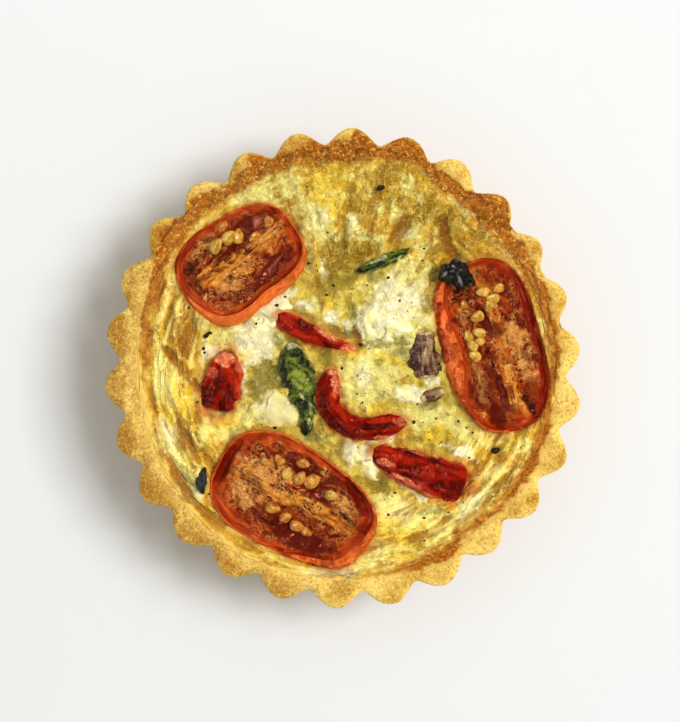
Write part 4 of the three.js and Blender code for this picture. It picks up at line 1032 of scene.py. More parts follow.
# melted strands of grated cheese: directions from and to, radii from and to, how many, lengths, the way they lie
custardStrands = [
    (150, 206, 28, 41.5, 70, (4, 13), "round"), (206, 238, 34, 41.5, 24, (4, 10), "round"),
    (246, 292, 38, 43, 20, (3, 9), "round"), (292, 342, 27, 42, 60, (4, 12), "round"),
    (-18, 12, 42, 44, 8, (3, 7), "round"), (14, 52, 30, 44, 26, (3, 7), "round"),
    (52, 128, 24, 43, 46, (1.5, 4), "outwards"), (110, 140, 36, 43, 14, (3, 7), "round"),
    (0, 360, 2, 26, 40, (1.5, 4), "anyhow"),
]


def ringCreases(angle, radius, along, across, seed):
    # creases in a lattice that runs round the tart: one size along the ring, another across it
    cells = [max(4, round(2 * np.pi * ringRadius / along)) * 2 ** i for i in range(3)]
    return ridged([latticeNoise((angle / (2 * np.pi) + 0.5) * around, radius / across * 2 ** i, seed + i, around)
                   for i, around in enumerate(cells)])


def ringCloud(angle, radius, along, across, seed):
    # smooth folds in the same lattice
    around = max(4, round(2 * np.pi * ringRadius / along))
    u, v = (angle / (2 * np.pi) + 0.5) * around, radius / across
    return latticeNoise(u, v, seed, around) + 0.5 * latticeNoise(u * 2, v * 2, seed + 1, around * 2)


def patchesOf(x, y):
    # the mask of every tone, its border bent and torn
    warpX = x + 0.9 * cloud(x, y, 6, 201, 3) + 0.6 * cloud(x, y, 1.6, 203, 2)
    warpY = y + 0.9 * cloud(x, y, 6, 207, 3) + 0.6 * cloud(x, y, 1.6, 209, 2)
    ragged = 0.35 * cloud(x, y, 2.2, 211, 3)
    return {tone: ellipseMask(rows, warpX, warpY, ragged, 0.45, 1.3) for tone, rows in custardPatches.items()}


def furrowsOf(x, y):
    warpX, warpY = x + 0.5 * cloud(x, y, 3, 281, 2), y + 0.5 * cloud(x, y, 3, 283, 2)
    result = np.zeros(np.shape(x))
    for rows, strength in custardFurrows:
        away = pathDistance(warpX, warpY, smoothPath(rows, 30))
        result = np.maximum(result, strength * (1 - ramp(away, -0.2, 0.7)))
    return result


def strandsOver(x, y):
    # height of the strands and how pale each one is
    height, pale = np.zeros(np.shape(x)), np.zeros(np.shape(x))
    draw = np.random.default_rng(311)
    halfWidth = custardLook["strandHalfWidth"]
    for start, end, near, far, count, (shortest, longest), lie in custardStrands:
        for _ in range(count):
            angle, radius = radians(draw.uniform(start, end)), draw.uniform(near, far)
            length, bend, paleness = draw.uniform(shortest, longest), draw.normal(0, 0.3), draw.uniform(-0.7, 1)
            wide, rise = halfWidth * draw.uniform(0.7, 1.5), draw.uniform(0.5, 1)
            # all three headings are drawn each time, so that a changed lie leaves the other strands alone
            heading = {"round": angle + pi / 2 + draw.normal(0, 0.16), "outwards": angle + draw.normal(0, 0.3),
                       "anyhow": draw.uniform(0, pi)}[lie]
            dx, dy = x - radius * cos(angle), y - radius * sin(angle)
            close = np.nonzero((np.abs(dx) < length) & (np.abs(dy) < length))[0]
            along, across = turnedBy(dx[close], dy[close], heading)
            rounding = -along ** 2 / (2 * radius) if lie == "round" else 0
            across = across + rounding + bend * (along / length) ** 2 * 3
            body = (1 - ramp(np.abs(along) / (length / 2), 0.55, 1.0)) * bell(across, wide)
            height[close] = np.maximum(height[close], rise * body)
            pale[close] = np.where(np.abs(paleness) * body > np.abs(pale[close]), paleness * body, pale[close])
    return height, pale


def toppingDistances(x, y):
    tomato = nearest(tomatoDistance(x, y, spec) for spec in tomatoes.values())
    pepper = nearest(pathDistance(x, y, bandOf(spec)) for spec in peppers.values())
    other = nearest(pathDistance(x, y, bandOf(spec)) for spec in [*onions.values(), *leaves.values()]
                    if not spec.get("charred") or spec["node"].endswith("left"))
    return tomato, pepper, other


def custardSurface(x, y):
    # height of the finished surface in millimetres and the masks of its material
    look = custardLook
    angle, radius = np.arctan2(y, x), np.hypot(x, y)
    tomato, pepper, other = toppingDistances(x, y)
    rear = 1 - ramp(apart(angle, 1.42), 0.55, 1.0)
    radial = rear * ramp(radius, 16, 26)
    ring = ramp(radius, 24, 34) * (1 - rear)
    middle = np.clip(1 - radial - ring, 0, 1)
    browned, width, strength = brownedAt(angle)
    ragged = radius + 1.0 * cloud(x, y, 4.5, 431) + 0.5 * cloud(x, y, 1.2, 433)

    strandHeight, strandPale = strandsOver(x, y)
    shown = (1 - ramp(radius, browned - width, browned) * strength) * (1 - 0.6 * middle)
    folds = radial * ringCloud(angle, radius, 4.6, 13.0, 215) + ring * ringCloud(angle, radius, 13.0, 3.6, 217)
    dabs = np.clip(ringCloud(angle, radius, 1.9, 3.4, 221) + 0.15, -1, 1)
    lines = radial * (0.4 + 0.35 * dabs) + ring * ringCreases(angle, radius, 9.0, 1.7, 227)
    marks = patchesOf(x, y)
    swollen = np.maximum(marks["milk"], 0.7 * marks["cream"]) - 0.6 * marks["olive"] - 0.3
    marks["furrow"] = furrowsOf(x, y)
    toast = strength * ramp(ragged, browned - width - 1.4 - 1.2 * rear, browned - width + 1.4)
    detail = (look["folds"] * folds + look["wrinkles"] * (lines - 0.35) * (1 - middle)
              + look["curds"] * cloud(x, y, 2.8, 229, 2) * middle + look["swollen"] * swollen
              - look["furrows"] * marks["furrow"] + look["strandRise"] * strandHeight * shown
              + look["grain"] * cloud(x, y, 1.1, 239, 2))
    detail += look["crisp"] * toast * (creases(x, y, 1.9, 241, 2) - 0.4) * (0.3 + 0.7 * crispAt(angle))
    height = custardLevel(x, y) + look["lumps"] * cloud(x, y, 6.5, 233, 2)
    height += detail * (1 - 0.5 * ramp(radius, 41, 44) * (1 - toast))
    for spec in cheeses.values():
        height += moundAt(x, y, spec)

    # the custard climbs a little up what lies on it and dips out of sight under it
    inner = pastryInside(angle, pastryCase["height"] - 1.0)
    atEdge = ramp(radius, inner - 2.6, inner + 0.7) * (1 - ramp(spillAt(angle)[0], 0.3, 0.9))
    dip = look["edgeDip"] * ramp(radius + 0.7 * cloud(x, y, 2.4, 273, 3), inner + 0.1, inner + 2.9)
    height = blend(height, rimTop(angle) + look["edgeRise"] - dip + 0.3 * detail, atEdge)
    onTomato, onPepper, flat = np.clip(tomato, 0, None), np.clip(pepper, 0, None), nearest([pepper, other])
    climb = look["meniscus"] * (0.7 + 0.5 * cloud(x, y, 3, 251, 2)) * bell(onTomato, 1.1)
    height = height + climb + 0.4 * bell(np.clip(flat, 0, None), 1.0)
    height = height - 3.4 * (1 - ramp(tomato, -2.6, -0.7)) - 1.2 * (1 - ramp(flat, -1.6, -0.3))
    for spec in tomatoes.values():
        away = tomatoDistance(x, y, spec)
        highest = tomatoRim(x, y, spec) - 0.35 + 0.9 * ramp(away, 0.6, 3.5) + 30 * ramp(away, 3.0, 7.0)
        height = np.minimum(height, highest - 2.4 * (1 - ramp(away, -0.8, -0.1)))

    crest = np.clip((detail + 0.08 - 0.25 * marks["cream"] * (1 - middle)) / 0.42, -1, 1)
    marks["toast"] = np.clip(np.maximum(marks["toast"] * (0.55 + 0.9 * np.clip(crest, 0, 1)), toast), 0, 1)
    marks["crust"] = ramp(ragged, browned + 0.1, browned + 0.9) * (1 - ramp(strength, 0.9, 1.0))
    marks |= {"crest": crest * 0.5 + 0.5, "radial": radial, "middle": middle, "crisp": crispAt(angle)}
    marks["pale"], marks["dull"] = np.clip(strandPale, 0, 1) * shown, np.clip(-strandPale, 0, 1) * shown
    marks["blush"] = 0.8 * np.exp(-(onPepper / 0.9) ** 1.5) * (0.5 + 0.7 * ramp(cloud(x, y, 2.6, 263), -0.3, 0.4))
    marks["oil"] = np.exp(-(onTomato / 0.9) ** 1.5) * (0.45 + 0.5 * ramp(cloud(x, y, 4, 269), -0.3, 0.4))
    seen = (nearest([tomato, pepper, other]) > 0.3) * (1 - toast) * (radius < 41)
    peppered = 0.25 + 1.6 * bell(np.hypot(x - 13, y + 6), 17) + bell(np.hypot(x + 26, y - 6), 8)
    marks["bits"] = seen * peppered * (0.5 + ramp(cloud(x, y, 5, 271), -0.2, 0.4))
    return height, marks


def custardMesh():
    n, bottom = custardLook["grid"], custardLook["bottom"]
    side = np.linspace(-1, 1, n + 1)
    a, b = [grid.ravel() for grid in np.meshgrid(side, side, indexing="ij")]
    # a square sheet pulled into a disc
    wide = np.abs(a) > np.abs(b)
    reach = np.where(wide, a, b)
    safe = np.where(reach == 0, 1, reach)
    angle = np.where(wide, np.pi / 4 * b / safe, np.pi / 2 - np.pi / 4 * a / safe)
    angle = np.where(reach < 0, angle + np.pi, angle)
    amount, reached = spillAt(angle)
    snug = pastryInside(angle, pastryCase["height"] - 1.0) + custardLook["overlap"]
    radius = np.abs(reach) * blend(snug, np.maximum(reached, snug), ramp(amount, 0.3, 1))
    x, y = radius * np.cos(angle), radius * np.sin(angle)
    z, marks = custardSurface(x, y)
    index = np.arange((n + 1) ** 2).reshape(n + 1, n + 1)
    faces = np.stack([index[:-1, :-1], index[1:, :-1], index[1:, 1:], index[:-1, 1:]], -1).reshape(-1, 4).tolist()

    # the edge rounds over and goes down the wall to a flat underside
    border = np.concatenate([index[:-1, 0], index[-1, :-1], index[:0:-1, -1], index[0, :0:-1]])
    outer, turn, count = np.hypot(x[border], y[border]), np.arctan2(y[border], x[border]), len(border)
    lip = rimTop(turn) + pastryCase["rimCrown"] * 0.6
    rows = [(outer + 0.05, np.maximum(z[border] - 0.35, np.where(outer > 43.6, lip, 0)))]
    rows += [(np.minimum(outer, pastryInside(turn, level) - 0.35), level) for level in custardLook["skirtHeights"]]
    rows += [(36, bottom), (18, bottom)]
    skirt = [columns(r * np.cos(turn), r * np.sin(turn), level) for r, level in rows]
    loops = [border] + [len(x) + row * count + np.arange(count) for row in range(len(rows))]
    for upper, lower in zip(loops[:-1], loops[1:]):
        faces += np.stack([np.roll(upper, -1), upper, lower, np.roll(lower, -1)], 1).tolist()
    middle = np.full(count, len(x) + len(rows) * count)
    faces += np.stack([np.roll(loops[-1], -1), loops[-1], middle], 1).tolist()
    for label in marks:
        edge = marks[label][border] if label != "bits" else np.zeros(count)
        marks[label] = np.concatenate([marks[label], np.tile(edge, len(rows)), [0]])
    return addMesh("custard", np.vstack([columns(x, y, z), *skirt, [(0, 0, bottom)]]), faces, marks)


def custardMaterial():
    material, tree, shader = newMaterial("bakedCustard")
    tone = tonesOf(custardLook)
    at = marksIn(tree, "radial middle crest toast crust furrow pale dull oil ochre olive cream yolk milk grey blush")
    streak = noiseTexture(tree, 1.5, 5, 0.6, 0.8)
    fine = noiseTexture(tree, 0.55, 4, 0.6)
    broad = noiseTexture(tree, 4.0, 3, 0.6, 0.6)
    ringFibre, ringTone = strands(tree, 1.3, 6.5)
    outFibre, outTone = strands(tree, 2.4, 1.1)
    looseFibre = threadOf(streak, 0.1)

    def byLie(ring, outwards, loose):
        # the value for the way that the strands lie here
        mixed = sums("MULTIPLY_ADD", minus(outwards, ring), at["radial"], ring)
        return sums("MULTIPLY_ADD", minus(loose, mixed), at["middle"], mixed)

    fibre, lie = byLie(ringFibre, looseFibre, looseFibre), byLie(ringTone, outTone, streak)
    patchy = sums("ADD", times(lie, 0.4), times(broad, 0.6))
    base = mixColour(spread(at["middle"], 0.1, 0.9), tone["curd"], tone["custard"])
    for name, most in {"ochre": 0.95, "olive": 0.9, "cream": 1.0, "yolk": 0.9, "milk": 1.0, "grey": 0.9}.items():
        share = spread(torn(patchy, 1.0, at[name]), 0.02, 0.62)
        base = over(base, tone[name], share, most, spread(at[name], 0.0, 0.12))

    # painted shade: brown in the hollows; on what stands up, light strands as painted highlights and dark ones
    # between them as painted shade
    strandy = minus(1.0, times(at["middle"], 0.2))
    hollow = mixColour(at["radial"], tone["hollow"], tone["rearHollowShade"])
    hollow = mixColour(at["middle"], hollow, tone["middleHollowShade"])
    base = over(base, hollow, spread(at["crest"], 0.46, 0.06), strandy, 0.85)
    ringOnly = times(strandy, minus(1.0, times(at["radial"], 0.6)))
    base = over(base, tone["strandShade"], spread(lie, 0.45, 0.34), spread(broad, 0.56, 0.44), ringOnly, 0.8)
    base = over(base, tone["strandHighlight"], spread(fibre, 0.6, 1.0), spread(at["crest"], 0.3, 0.75), ringOnly,
                spread(broad, 0.4, 0.55), 0.8)
    # in the rear, painted highlights along the outward strands and painted shade between them
    base = over(base, tone["rearStrandHighlight"], spread(outFibre, 0.6, 1.0), at["radial"], spread(broad, 0.4, 0.58), 0.7)
    base = over(base, tone["rearStrandShade"], spread(outTone, 0.46, 0.34), at["radial"], 0.35)
    # pale and dull strands, then painted shade along the furrows
    for name, most in {"pale": 0.9, "dull": 0.8, "furrow": 0.8}.items():
        base = over(base, tone[name], at[name], most)

    # painted highlights as pale crumbs of curd on top, then a sandy stipple where the custard is olive or browned,
    # its light specks painted highlights
    dab = noiseTexture(tree, 0.95, 2, 0.5, 0.4)
    base = over(base, tone["crumbHighlight"], spread(dab, 0.54, 0.66), spread(at["crest"], 0.35, 0.8), 0.7)
    sand = noiseTexture(tree, 0.45, 3, 0.7)
    browner = larger(at["olive"], at["ochre"])
    rough = minus(1.0, times(larger(at["milk"], at["grey"]), 0.9))
    sandy = times(sums("MULTIPLY_ADD", browner, 0.5, 0.28), rough, spread(streak, 0.35, 0.6))
    base = over(base, tone["sandDark"], spread(sand, 0.5, 0.38), sandy)
    base = over(base, tone["sandHighlight"], spread(sand, 0.55, 0.66), sums("MULTIPLY_ADD", browner, 0.1, 0.2))
    base = over(base, tone["blush"], at["blush"], 0.8)
    base = over(base, tone["oil"], at["oil"], 0.75)
    crust, crustHeight = crusted(streak)
    toasted = times(spread(torn(patchy, 1.2, at["toast"]), 0.2, 0.75), spread(at["toast"], 0.0, 0.1))
    base = mixColour(toasted, base, crust)
    base = mixColour(at["crust"], base, tone["crust"])
    height = sums("ADD", times(fine, 0.4), times(fibre, strandy, 0.6))
    for part, share in ((dab, 0.5), (streak, 0.5), (sand, 0.2), (times(crustHeight, toasted), 1.2)):
        height = sums("MULTIPLY_ADD", part, share, height)
    finish(shader, base, spread(streak, 0.35, 0.65, 0.5, 0.22), 0.38, height, 0.75, 0.55, (1.0, 0.92, 0.66))
    return material


def pepperDustMaterial():
    material, tree, shader = newMaterial("groundPepper")
    grain = spread(noiseTexture(tree, 0.4, 2), 0.35, 0.65)
    finish(shader, mixColour(grain, colour(20, 13, 7), colour(74, 52, 24)), 0.5, 0.1)
    return material


custard = custardMesh()
speckSource = objectWith("speckSource", custard.data.copy())
dress(custard, custardMaterial(), "custard", "filling")
pepperDust = pepperDustMaterial()
specks = grown(speckSource, scatteredBits, "pepperSpecks", pepperDust, custardLook["speckSizes"],
               {"Density": custardLook["specks"], "Seed": 8})
dress(specks, pepperDust, "custard", "filling")
print("custard baked:", len(custard.data.polygons), "faces,", len(specks.data.polygons) // 20, "specks of pepper")


# roasted tomato halves

tomatoLook = {
    "around": 232, "faceRings": 64, "edgeRings": 12, "dish": 0.35, "lip": 0.15, "groove": 0.8, "wall": 0.12,
    "core": 0.6, "pools": 0.9, "wrinkles": 0.8, "fine": 0.14,
    "seedTaper": 0.28, "seedSizes": {"Length": 1.75, "Width": 1.25, "Height": 0.8, "Wrinkles": 0.25},
    # the crest and deep tones also serve as painted highlight and shade on the relief, the lighter skin tone as
    # painted highlights
    "flesh": (158, 50, 4), "deep": (94, 8, 0), "crest": (222, 130, 44), "gold": (230, 160, 58),
    "peach": (210, 156, 84), "jelly": (78, 2, 0), "scorch": (40, 10, 4), "worm": (244, 192, 110),
    "glints": (254, 228, 188), "wallRed": (130, 18, 0), "wallLight": (198, 82, 16), "skin": (178, 34, 0),
    "skinHighlight": (236, 128, 64), "maroon": (104, 12, 0), "apricot": (226, 126, 52),
    "seed": (218, 180, 80), "seedDark": (162, 114, 32),
}


def alongRim(rows, degrees, column):
    table = np.array(rows, float)
    return np.interp(degrees, table[:, 0], table[:, column], period=360)


def skinShare(spec, turn):
    # 1 on the side that shows its skin, 0 away from it
    return 1 - ramp(apart(turn, radians(spec["skinSide"])), spec["skinSpread"], spec["skinSpread"] + 0.9)


def cutFace(spec, p, q, s):
    # height of the cut face under its rim, and the masks of its flesh
    look, seed = tomatoLook, spec["seed"] * 10
    long, wide, shift = spec["halfLength"], spec["halfWidth"], spec["coreShift"] * spec["halfWidth"]
    across = q - shift - 0.8 * np.sin(p / long * 2.2 + spec["seed"])
    core = bell(across, 0.17 * wide) * (1 - ramp(np.abs(p) / long, 0.72, 0.95))
    pocket = bell(np.abs(across) - 0.46 * wide, 0.2 * wide) * (1 - ramp(np.abs(p) / long, 0.45, 0.75))
    uneven = cloud(p, q, 1.8, 601, 2)
    jelly, gold, pale, scorch = [ellipseMask(spec[label], p, q, blur * uneven, 0.55, 1.15) for label, blur in
                                 (("jelly", 0.3), ("gold", 0.4), ("pale", 0.5), ("scorch", 0.4))]
    warpP, warpQ = p * 0.8 + 1.2 * cloud(p, q, 3, seed, 2), q + 1.0 * cloud(p, q, 3.4, seed + 1, 2)
    wrinkle = creases(warpP, warpQ, 2.4, seed + 3, 2)
    fibres = creases(p * 0.25, q * 1.2, 1.6, seed + 5, 2)
    around = np.degrees(np.arctan2(q, p))
    wall = ramp(s + 0.09 * cloud(p, q, 3.5, seed + 15, 2), 0.8, 0.95)
    circling = latticeNoise((around / 360 + 0.5) * 18, s * 15, seed + 17, 18)
    circling += 0.6 * latticeNoise((around / 360 + 0.5) * 36, s * 34, seed + 19, 36)
    cleft, wideness = alongRim(spec["cleft"], around, 1), alongRim(spec["cleft"], around, 2)
    groove = bell(s - 0.965 + 0.45 * wideness, 0.02 + 0.55 * wideness) * cleft
    groove = groove * (0.75 + 0.4 * ramp(cloud(p, q, 5, seed + 9, 2), -0.3, 0.3))
    texture = (wrinkle - 0.4) * (1 - 0.75 * core) + 0.8 * (fibres - 0.4) * np.clip(core + gold, 0, 1)
    texture = blend(texture * (1 - 0.85 * jelly), 0.34 * circling, wall)
    height = -look["dish"] * (1 - ramp(s, 0.86, 0.985)) - look["groove"] * groove
    height = height + look["wall"] * ramp(s, 0.5, 0.8) * (1 - ramp(s, 0.84, 0.93)) + look["core"] * core
    pools = np.maximum(jelly, 0.75 * pocket * (1 - gold))
    height = height - look["pools"] * pools + 0.35 * cloud(p, q, 4.5, seed + 7, 2)
    height += look["wrinkles"] * texture * (1 - ramp(s, 0.95, 0.98))
    height += look["fine"] * cloud(p, q, 0.8, seed + 11, 2) * (1 - jelly) * (1 - wall)
    height += look["lip"] * ramp(s, 0.965, 0.99)
    return height, {
        "crest": np.clip(texture * 1.1 + 0.45, 0, 1), "gold": np.maximum(gold, 0.55 * core * (1 - jelly)),
        "pale": pale, "jelly": np.clip(jelly + 0.35 * pocket * (1 - pale) * (1 - gold), 0, 1), "scorch": scorch,
        "groove": np.clip(groove, 0, 1), "rim": ramp(s, 0.98, 0.998), "wall": wall}


def tomatoPlacing(spec):
    lean, towards = radians(spec["lean"]), radians(spec["leanTowards"])
    tip = Quaternion(Vector((-sin(towards), cos(towards), 0)), lean)
    turn = Quaternion(Vector((0, 0, 1)), radians(spec["turn"]))
    move = Matrix.Translation(Vector((spec["x"], spec["y"], pastryCase["height"] + spec["lift"])))
    return np.array(move @ (tip @ turn).to_matrix().to_4x4())


def placed(points, spec):
    matrix = tomatoPlacing(spec)
    return np.asarray(points) @ matrix[:3, :3].T + matrix[:3, 3]


def tomatoOutline(spec, a):
    long, wide = tomatoShape(a, spec)
    p, q = spec["halfLength"] * long * np.cos(a), spec["halfWidth"] * wide * np.sin(a)
    uneven = 1 + 0.012 * cloud(p, q, 6, spec["seed"] * 10 + 13, 2)
    return p * uneven, q * uneven


def tomatoMesh(name, spec):
    count = tomatoLook["around"]
    a = directions(count)
    edgeP, edgeQ = tomatoOutline(spec, a)
    shown = skinShare(spec, np.arctan2(edgeQ, edgeP))
    inset = 0.24 + (spec["skinShown"] - 0.24) * shown
    inset = 1 - inset / np.hypot(edgeP, edgeQ)
    faceP, faceQ = edgeP * inset, edgeQ * inset
    rings, marks = [], {}

    def ring(p, q, z, ringMarks):
        rings.append(columns(p, q, z))
        ringMarks["ripe"] = alongRim(spec["rimTones"], np.degrees(np.arctan2(q, p)), 1)
        for label in "crest gold pale jelly scorch groove rim skin ripe wall".split():
            marks.setdefault(label, []).append(np.broadcast_to(ringMarks.get(label, 0), np.shape(p)))

    middle = np.zeros(1)
    ring(middle, middle, *cutFace(spec, middle, middle, middle))
    for s in 1 - (1 - np.linspace(0, 1, tomatoLook["faceRings"] + 1)[1:]) ** 1.15:
        ring(faceP * s, faceQ * s, *cutFace(spec, faceP * s, faceQ * s, np.full(count, s)))
    # the skin rolls over the edge and goes down to the bottom
    edgeZ, drop = rings[-1][:, 2], 0.9 + 1.7 * shown
    for t in np.linspace(0, 1, tomatoLook["edgeRings"] + 1)[1:]:
        share, skin = sin(t * pi / 2), min(1.0, t * 4)
        p, q = blend(faceP, edgeP, share), blend(faceQ, edgeQ, share)
        pucker = 0.22 * (creases(p, q, 3.0, spec["seed"] + 15, 2) - 0.4) * shown * sin(t * pi)
        z = edgeZ - drop * (1 - cos(t * pi / 2)) + pucker
        ring(p, q, z, {"skin": skin, "rim": max(0.0, 1 - t * 2.5), "crest": 0.5, "wall": 1 - skin})
    under = [(0.985, -0.2), (0.96, -0.32), (0.9, -0.45), (0.8, -0.6), (0.66, -0.74), (0.48, -0.87), (0.26, -0.96)]
    for share, z in under:
        level = np.minimum(rings[-1][:, 2] - 0.05, z * spec["depth"])
        ring(edgeP * share, edgeQ * share, level, {"skin": 1.0, "crest": 0.5})
    ring(middle, middle, middle - spec["depth"], {"skin": 1.0, "crest": 0.5})
    faces = ringFaces(len(rings) - 2, count)
    marks = {label: np.concatenate(rows) for label, rows in marks.items()}
    return addMesh(name, placed(np.vstack(rings), spec), faces, marks)


def tomatoMaterial():
    material, tree, shader = newMaterial("roastedTomato")
    tone, at = tonesOf(tomatoLook), marksIn(tree, "crest wall jelly pale gold ripe groove scorch rim skin")
    streak = noiseTexture(tree, 1.6, 3, 0.5, 1.0)
    fine = noiseTexture(tree, 0.45, 3, 0.6)
    broad = noiseTexture(tree, 4.2, 2, 0.5, 0.6)
    worm = threadOf(noiseTexture(tree, 1.7, 2, 0.4, 1.6), 0.055, 0.01)
    # painted shade: deep red in the hollows of the flesh; painted highlights: the crest tone on its ridges, where
    # gold and peach also lie
    base = mixColour(spread(at["crest"], 0.42, 0.12), tone["flesh"], tone["deep"])
    base = over(base, tone["crest"], spread(at["crest"], 0.5, 0.95), 0.6)
    for name, target, most in (("pale", "peach", 0.8), ("gold", "gold", 0.75)):
        share = times(spread(torn(streak, 1.2, at[name]), 0.2, 0.85), most, spread(at[name], 0.0, 0.15))
        base = over(base, tone[target], share, spread(at["crest"], 0.05, 0.45))
    # winding threads of pulp in patches, and their wet glints
    loose = minus(1.0, larger(at["wall"], at["jelly"]))
    patch = larger(spread(broad, 0.46, 0.6), times(at["pale"], 0.7))
    base = over(base, tone["worm"], worm, sums("MULTIPLY_ADD", patch, 0.6, 0.2), loose)
    base = over(base, tone["deep"], spread(broad, 0.5, 0.38), loose, 0.6)
    glints = times(spread(fine, 0.6, 0.68), patch, spread(streak, 0.42, 0.58))
    base = over(base, tone["glints"], glints, sums("MULTIPLY_ADD", loose, 0.7, 0.1))
    # the wall's tone round the rim: partly its own colour, partly painted shade
    side = mixColour(spread(at["ripe"], 0.1, 0.8), tone["wallRed"], tone["wallLight"])
    # painted highlights on the wall's ridges and painted shade in its hollows
    side = over(side, tone["skinHighlight"], spread(at["crest"], 0.5, 0.75), 0.5)
    side = over(side, tone["deep"], spread(at["crest"], 0.4, 0.15), 0.6)
    base = over(base, side, at["wall"], 0.95)
    base = over(base, tone["jelly"], at["jelly"], 0.9)
    base = over(base, tone["wallRed"], at["groove"], 0.85)
    base = over(base, tone["scorch"], at["scorch"], spread(streak, 0.35, 0.55))
    # the skin's lighter streaks are painted highlights
    skin = mixColour(spread(streak, 0.36, 0.56), tone["skin"], tone["skinHighlight"])
    skin = mixColour(spread(at["ripe"], 0.5, 0.0), skin, tone["maroon"])
    skin = mixColour(spread(at["ripe"], 0.5, 1.0, 0.0, 0.72), skin, tone["apricot"])
    skin = over(skin, tone["maroon"], spread(broad, 0.54, 0.42), spread(at["ripe"], 1.0, 0.4, 0.0, 0.8))
    base = mixColour(larger(at["rim"], at["skin"]), base, skin)
    wet = larger(larger(at["jelly"], times(at["wall"], 0.8)), at["skin"])
    height = sums("MULTIPLY_ADD", fine, 0.4, sums("MULTIPLY_ADD", worm, 0.25, streak))
    height = times(height, minus(1.0, times(wet, 0.7)))
    finish(shader, base, spread(wet, 0.0, 1.0, 0.16, 0.1), 0.48, height, 0.9, 0.5, (1.0, 0.36, 0.22))
    return material


def seedMaterial():
    material, tree, shader = newMaterial("tomatoSeed")
    tone = tonesOf(tomatoLook)
    base = mixColour(spread(noiseTexture(tree, 1.2, 4), 0.35, 0.65), tone["seedDark"], tone["seed"])
    base, speck = mottle(base, colour(150, 92, 24), colour(250, 226, 146), 0.8, 0.3, 0.6)
    veiled = mixColour(spread(speck, 0.4, 0.6), colour(140, 58, 10), colour(204, 130, 42))
    base = mixColour(mark(tree, "veil"), base, veiled)
    finish(shader, base, 0.24, 0.45, noiseTexture(tree, 0.6, 3), 0.5, 0.25, (1.0, 0.86, 0.62))
    return material


def laidPoints(name, points, turn, size, draw, **more):
    # points for the seeds or flakes, each with its turn, its size and a slight random tip
    tips = {label: draw.uniform(-0.3, 0.3, len(points)) for label in ("tipX", "tipY")}
    return addMesh(name, points, [], {"turn": np.radians(turn), "size": size, **tips, **more}, smooth=False)


def seedSpots(spec):
    # one point for each seed, resting on the cut face
    rows = np.array(spec["seeds"], float)
    p, q, turn, size, veil = rows.T
    ring = np.hypot(p / spec["halfLength"], q / spec["halfWidth"])
    z, _ = cutFace(spec, p, q, np.minimum(ring, 0.8))
    points = placed(columns(p, q, z + 0.4 - 0.35 * veil), spec)
    return laidPoints("seedSpots", points, turn + spec["turn"], size, np.random.default_rng(spec["seed"]), veil=veil)


tomatoFlesh, seedFinish = tomatoMaterial(), seedMaterial()
for title, spec in tomatoes.items():
    name = title[0].upper() + title[1:]
    dress(tomatoMesh("tomato" + name, spec), tomatoFlesh, "tomato", spec["node"])
    seeds = grown(seedSpots(spec), laidSeeds, "tomatoSeeds" + name, seedFinish, tomatoLook["seedSizes"],
                  {"Taper": tomatoLook["seedTaper"]})
    dress(seeds, seedFinish, "tomato", spec["node"])
print("tomato halves laid")


# strips and pieces of pepper, onion and leaves

def spotMasks(spec, x, y):
    ragged = 0.35 * cloud(x, y, 1.8, spec["seed"] + 5, 3)
    return {label: ellipseMask(spec.get(label, []), x, y, ragged, 0.5, 1.1)
            for label in ("film", "dark", "light")}


def layAlong(name, spec, relief, around=96, steps=170):
    # a rounded body along a path, with relief worked out along and across it
    x, y, lift, width = rows = smoothPath(spec["path"], steps).T
    level = custardLevel(x, y) + lift
    forward = np.gradient(rows[:2].T, axis=0)
    forward /= np.linalg.norm(forward, axis=1)[:, None] + 1e-9
    travelled = np.concatenate([[0], np.cumsum(np.hypot(np.diff(x), np.diff(y)))])
    share = travelled / travelled[-1]
    swell = np.clip(1 - np.abs(2 * share - 1) ** spec.get("bluntness", 6), 0, 1) ** 0.5
    turn = directions(around) - np.pi / 2
    along = travelled[1:-1, None] * np.ones(around)
    narrow = (width * swell)[1:-1, None]
    uneven = 1 + spec.get("ragged", 0.1) * cloud(along, np.sign(np.cos(turn)) * 20 + 0 * along, 2.6, spec["seed"], 3)
    flat = spec.get("flatness", 1.0)
    sideways, upwards = [np.sign(v) * np.abs(v) ** flat for v in (np.cos(turn), np.sin(turn))]
    across = narrow * uneven * sideways
    high = spec["halfHeight"] * np.minimum(swell * 1.4, 1)[1:-1, None] * upwards
    side = across / np.maximum(narrow, 0.05)
    rise, crest = relief(spec, along, across, side, turn + 0 * along)
    px = x[1:-1, None] - forward[1:-1, 1:2] * across
    py = y[1:-1, None] + forward[1:-1, 0:1] * across
    pz = level[1:-1, None] + high + rise * np.minimum(swell * 1.6, 1)[1:-1, None]
    ends = columns(x, y, level)[[0, -1]]
    points = np.vstack([ends[:1], np.stack([px, py, pz], -1).reshape(-1, 3), ends[1:]])
    faces = ringFaces(steps - 2, around)
    marks = spotMasks(spec, points[:, 0], points[:, 1])
    marks["crest"] = np.concatenate([[0.5], crest.ravel(), [0.5]])
    edge = np.clip(np.abs(side), 0, 1) + 0 * along
    marks["edge"] = np.concatenate([[1], edge.ravel(), [1]])
    return addMesh(name, points, faces, marks)


pepperLook = {
    "wrinkles": 0.55, "fine": 0.2, "hollow": (0.4, 0.05), "ridge": 0.65, "ridgeHighlightShare": 0.45, "tear": 1.1,
    "spotEdge": (0.15, 0.95), "spotShares": {"dark": 0.95, "light": 0.85, "film": 0.9},
    "body": (130, 6, 0), "dark": (70, 3, 0), "light": (190, 46, 10), "film": (222, 116, 82), "milky": (246, 226, 170),
}


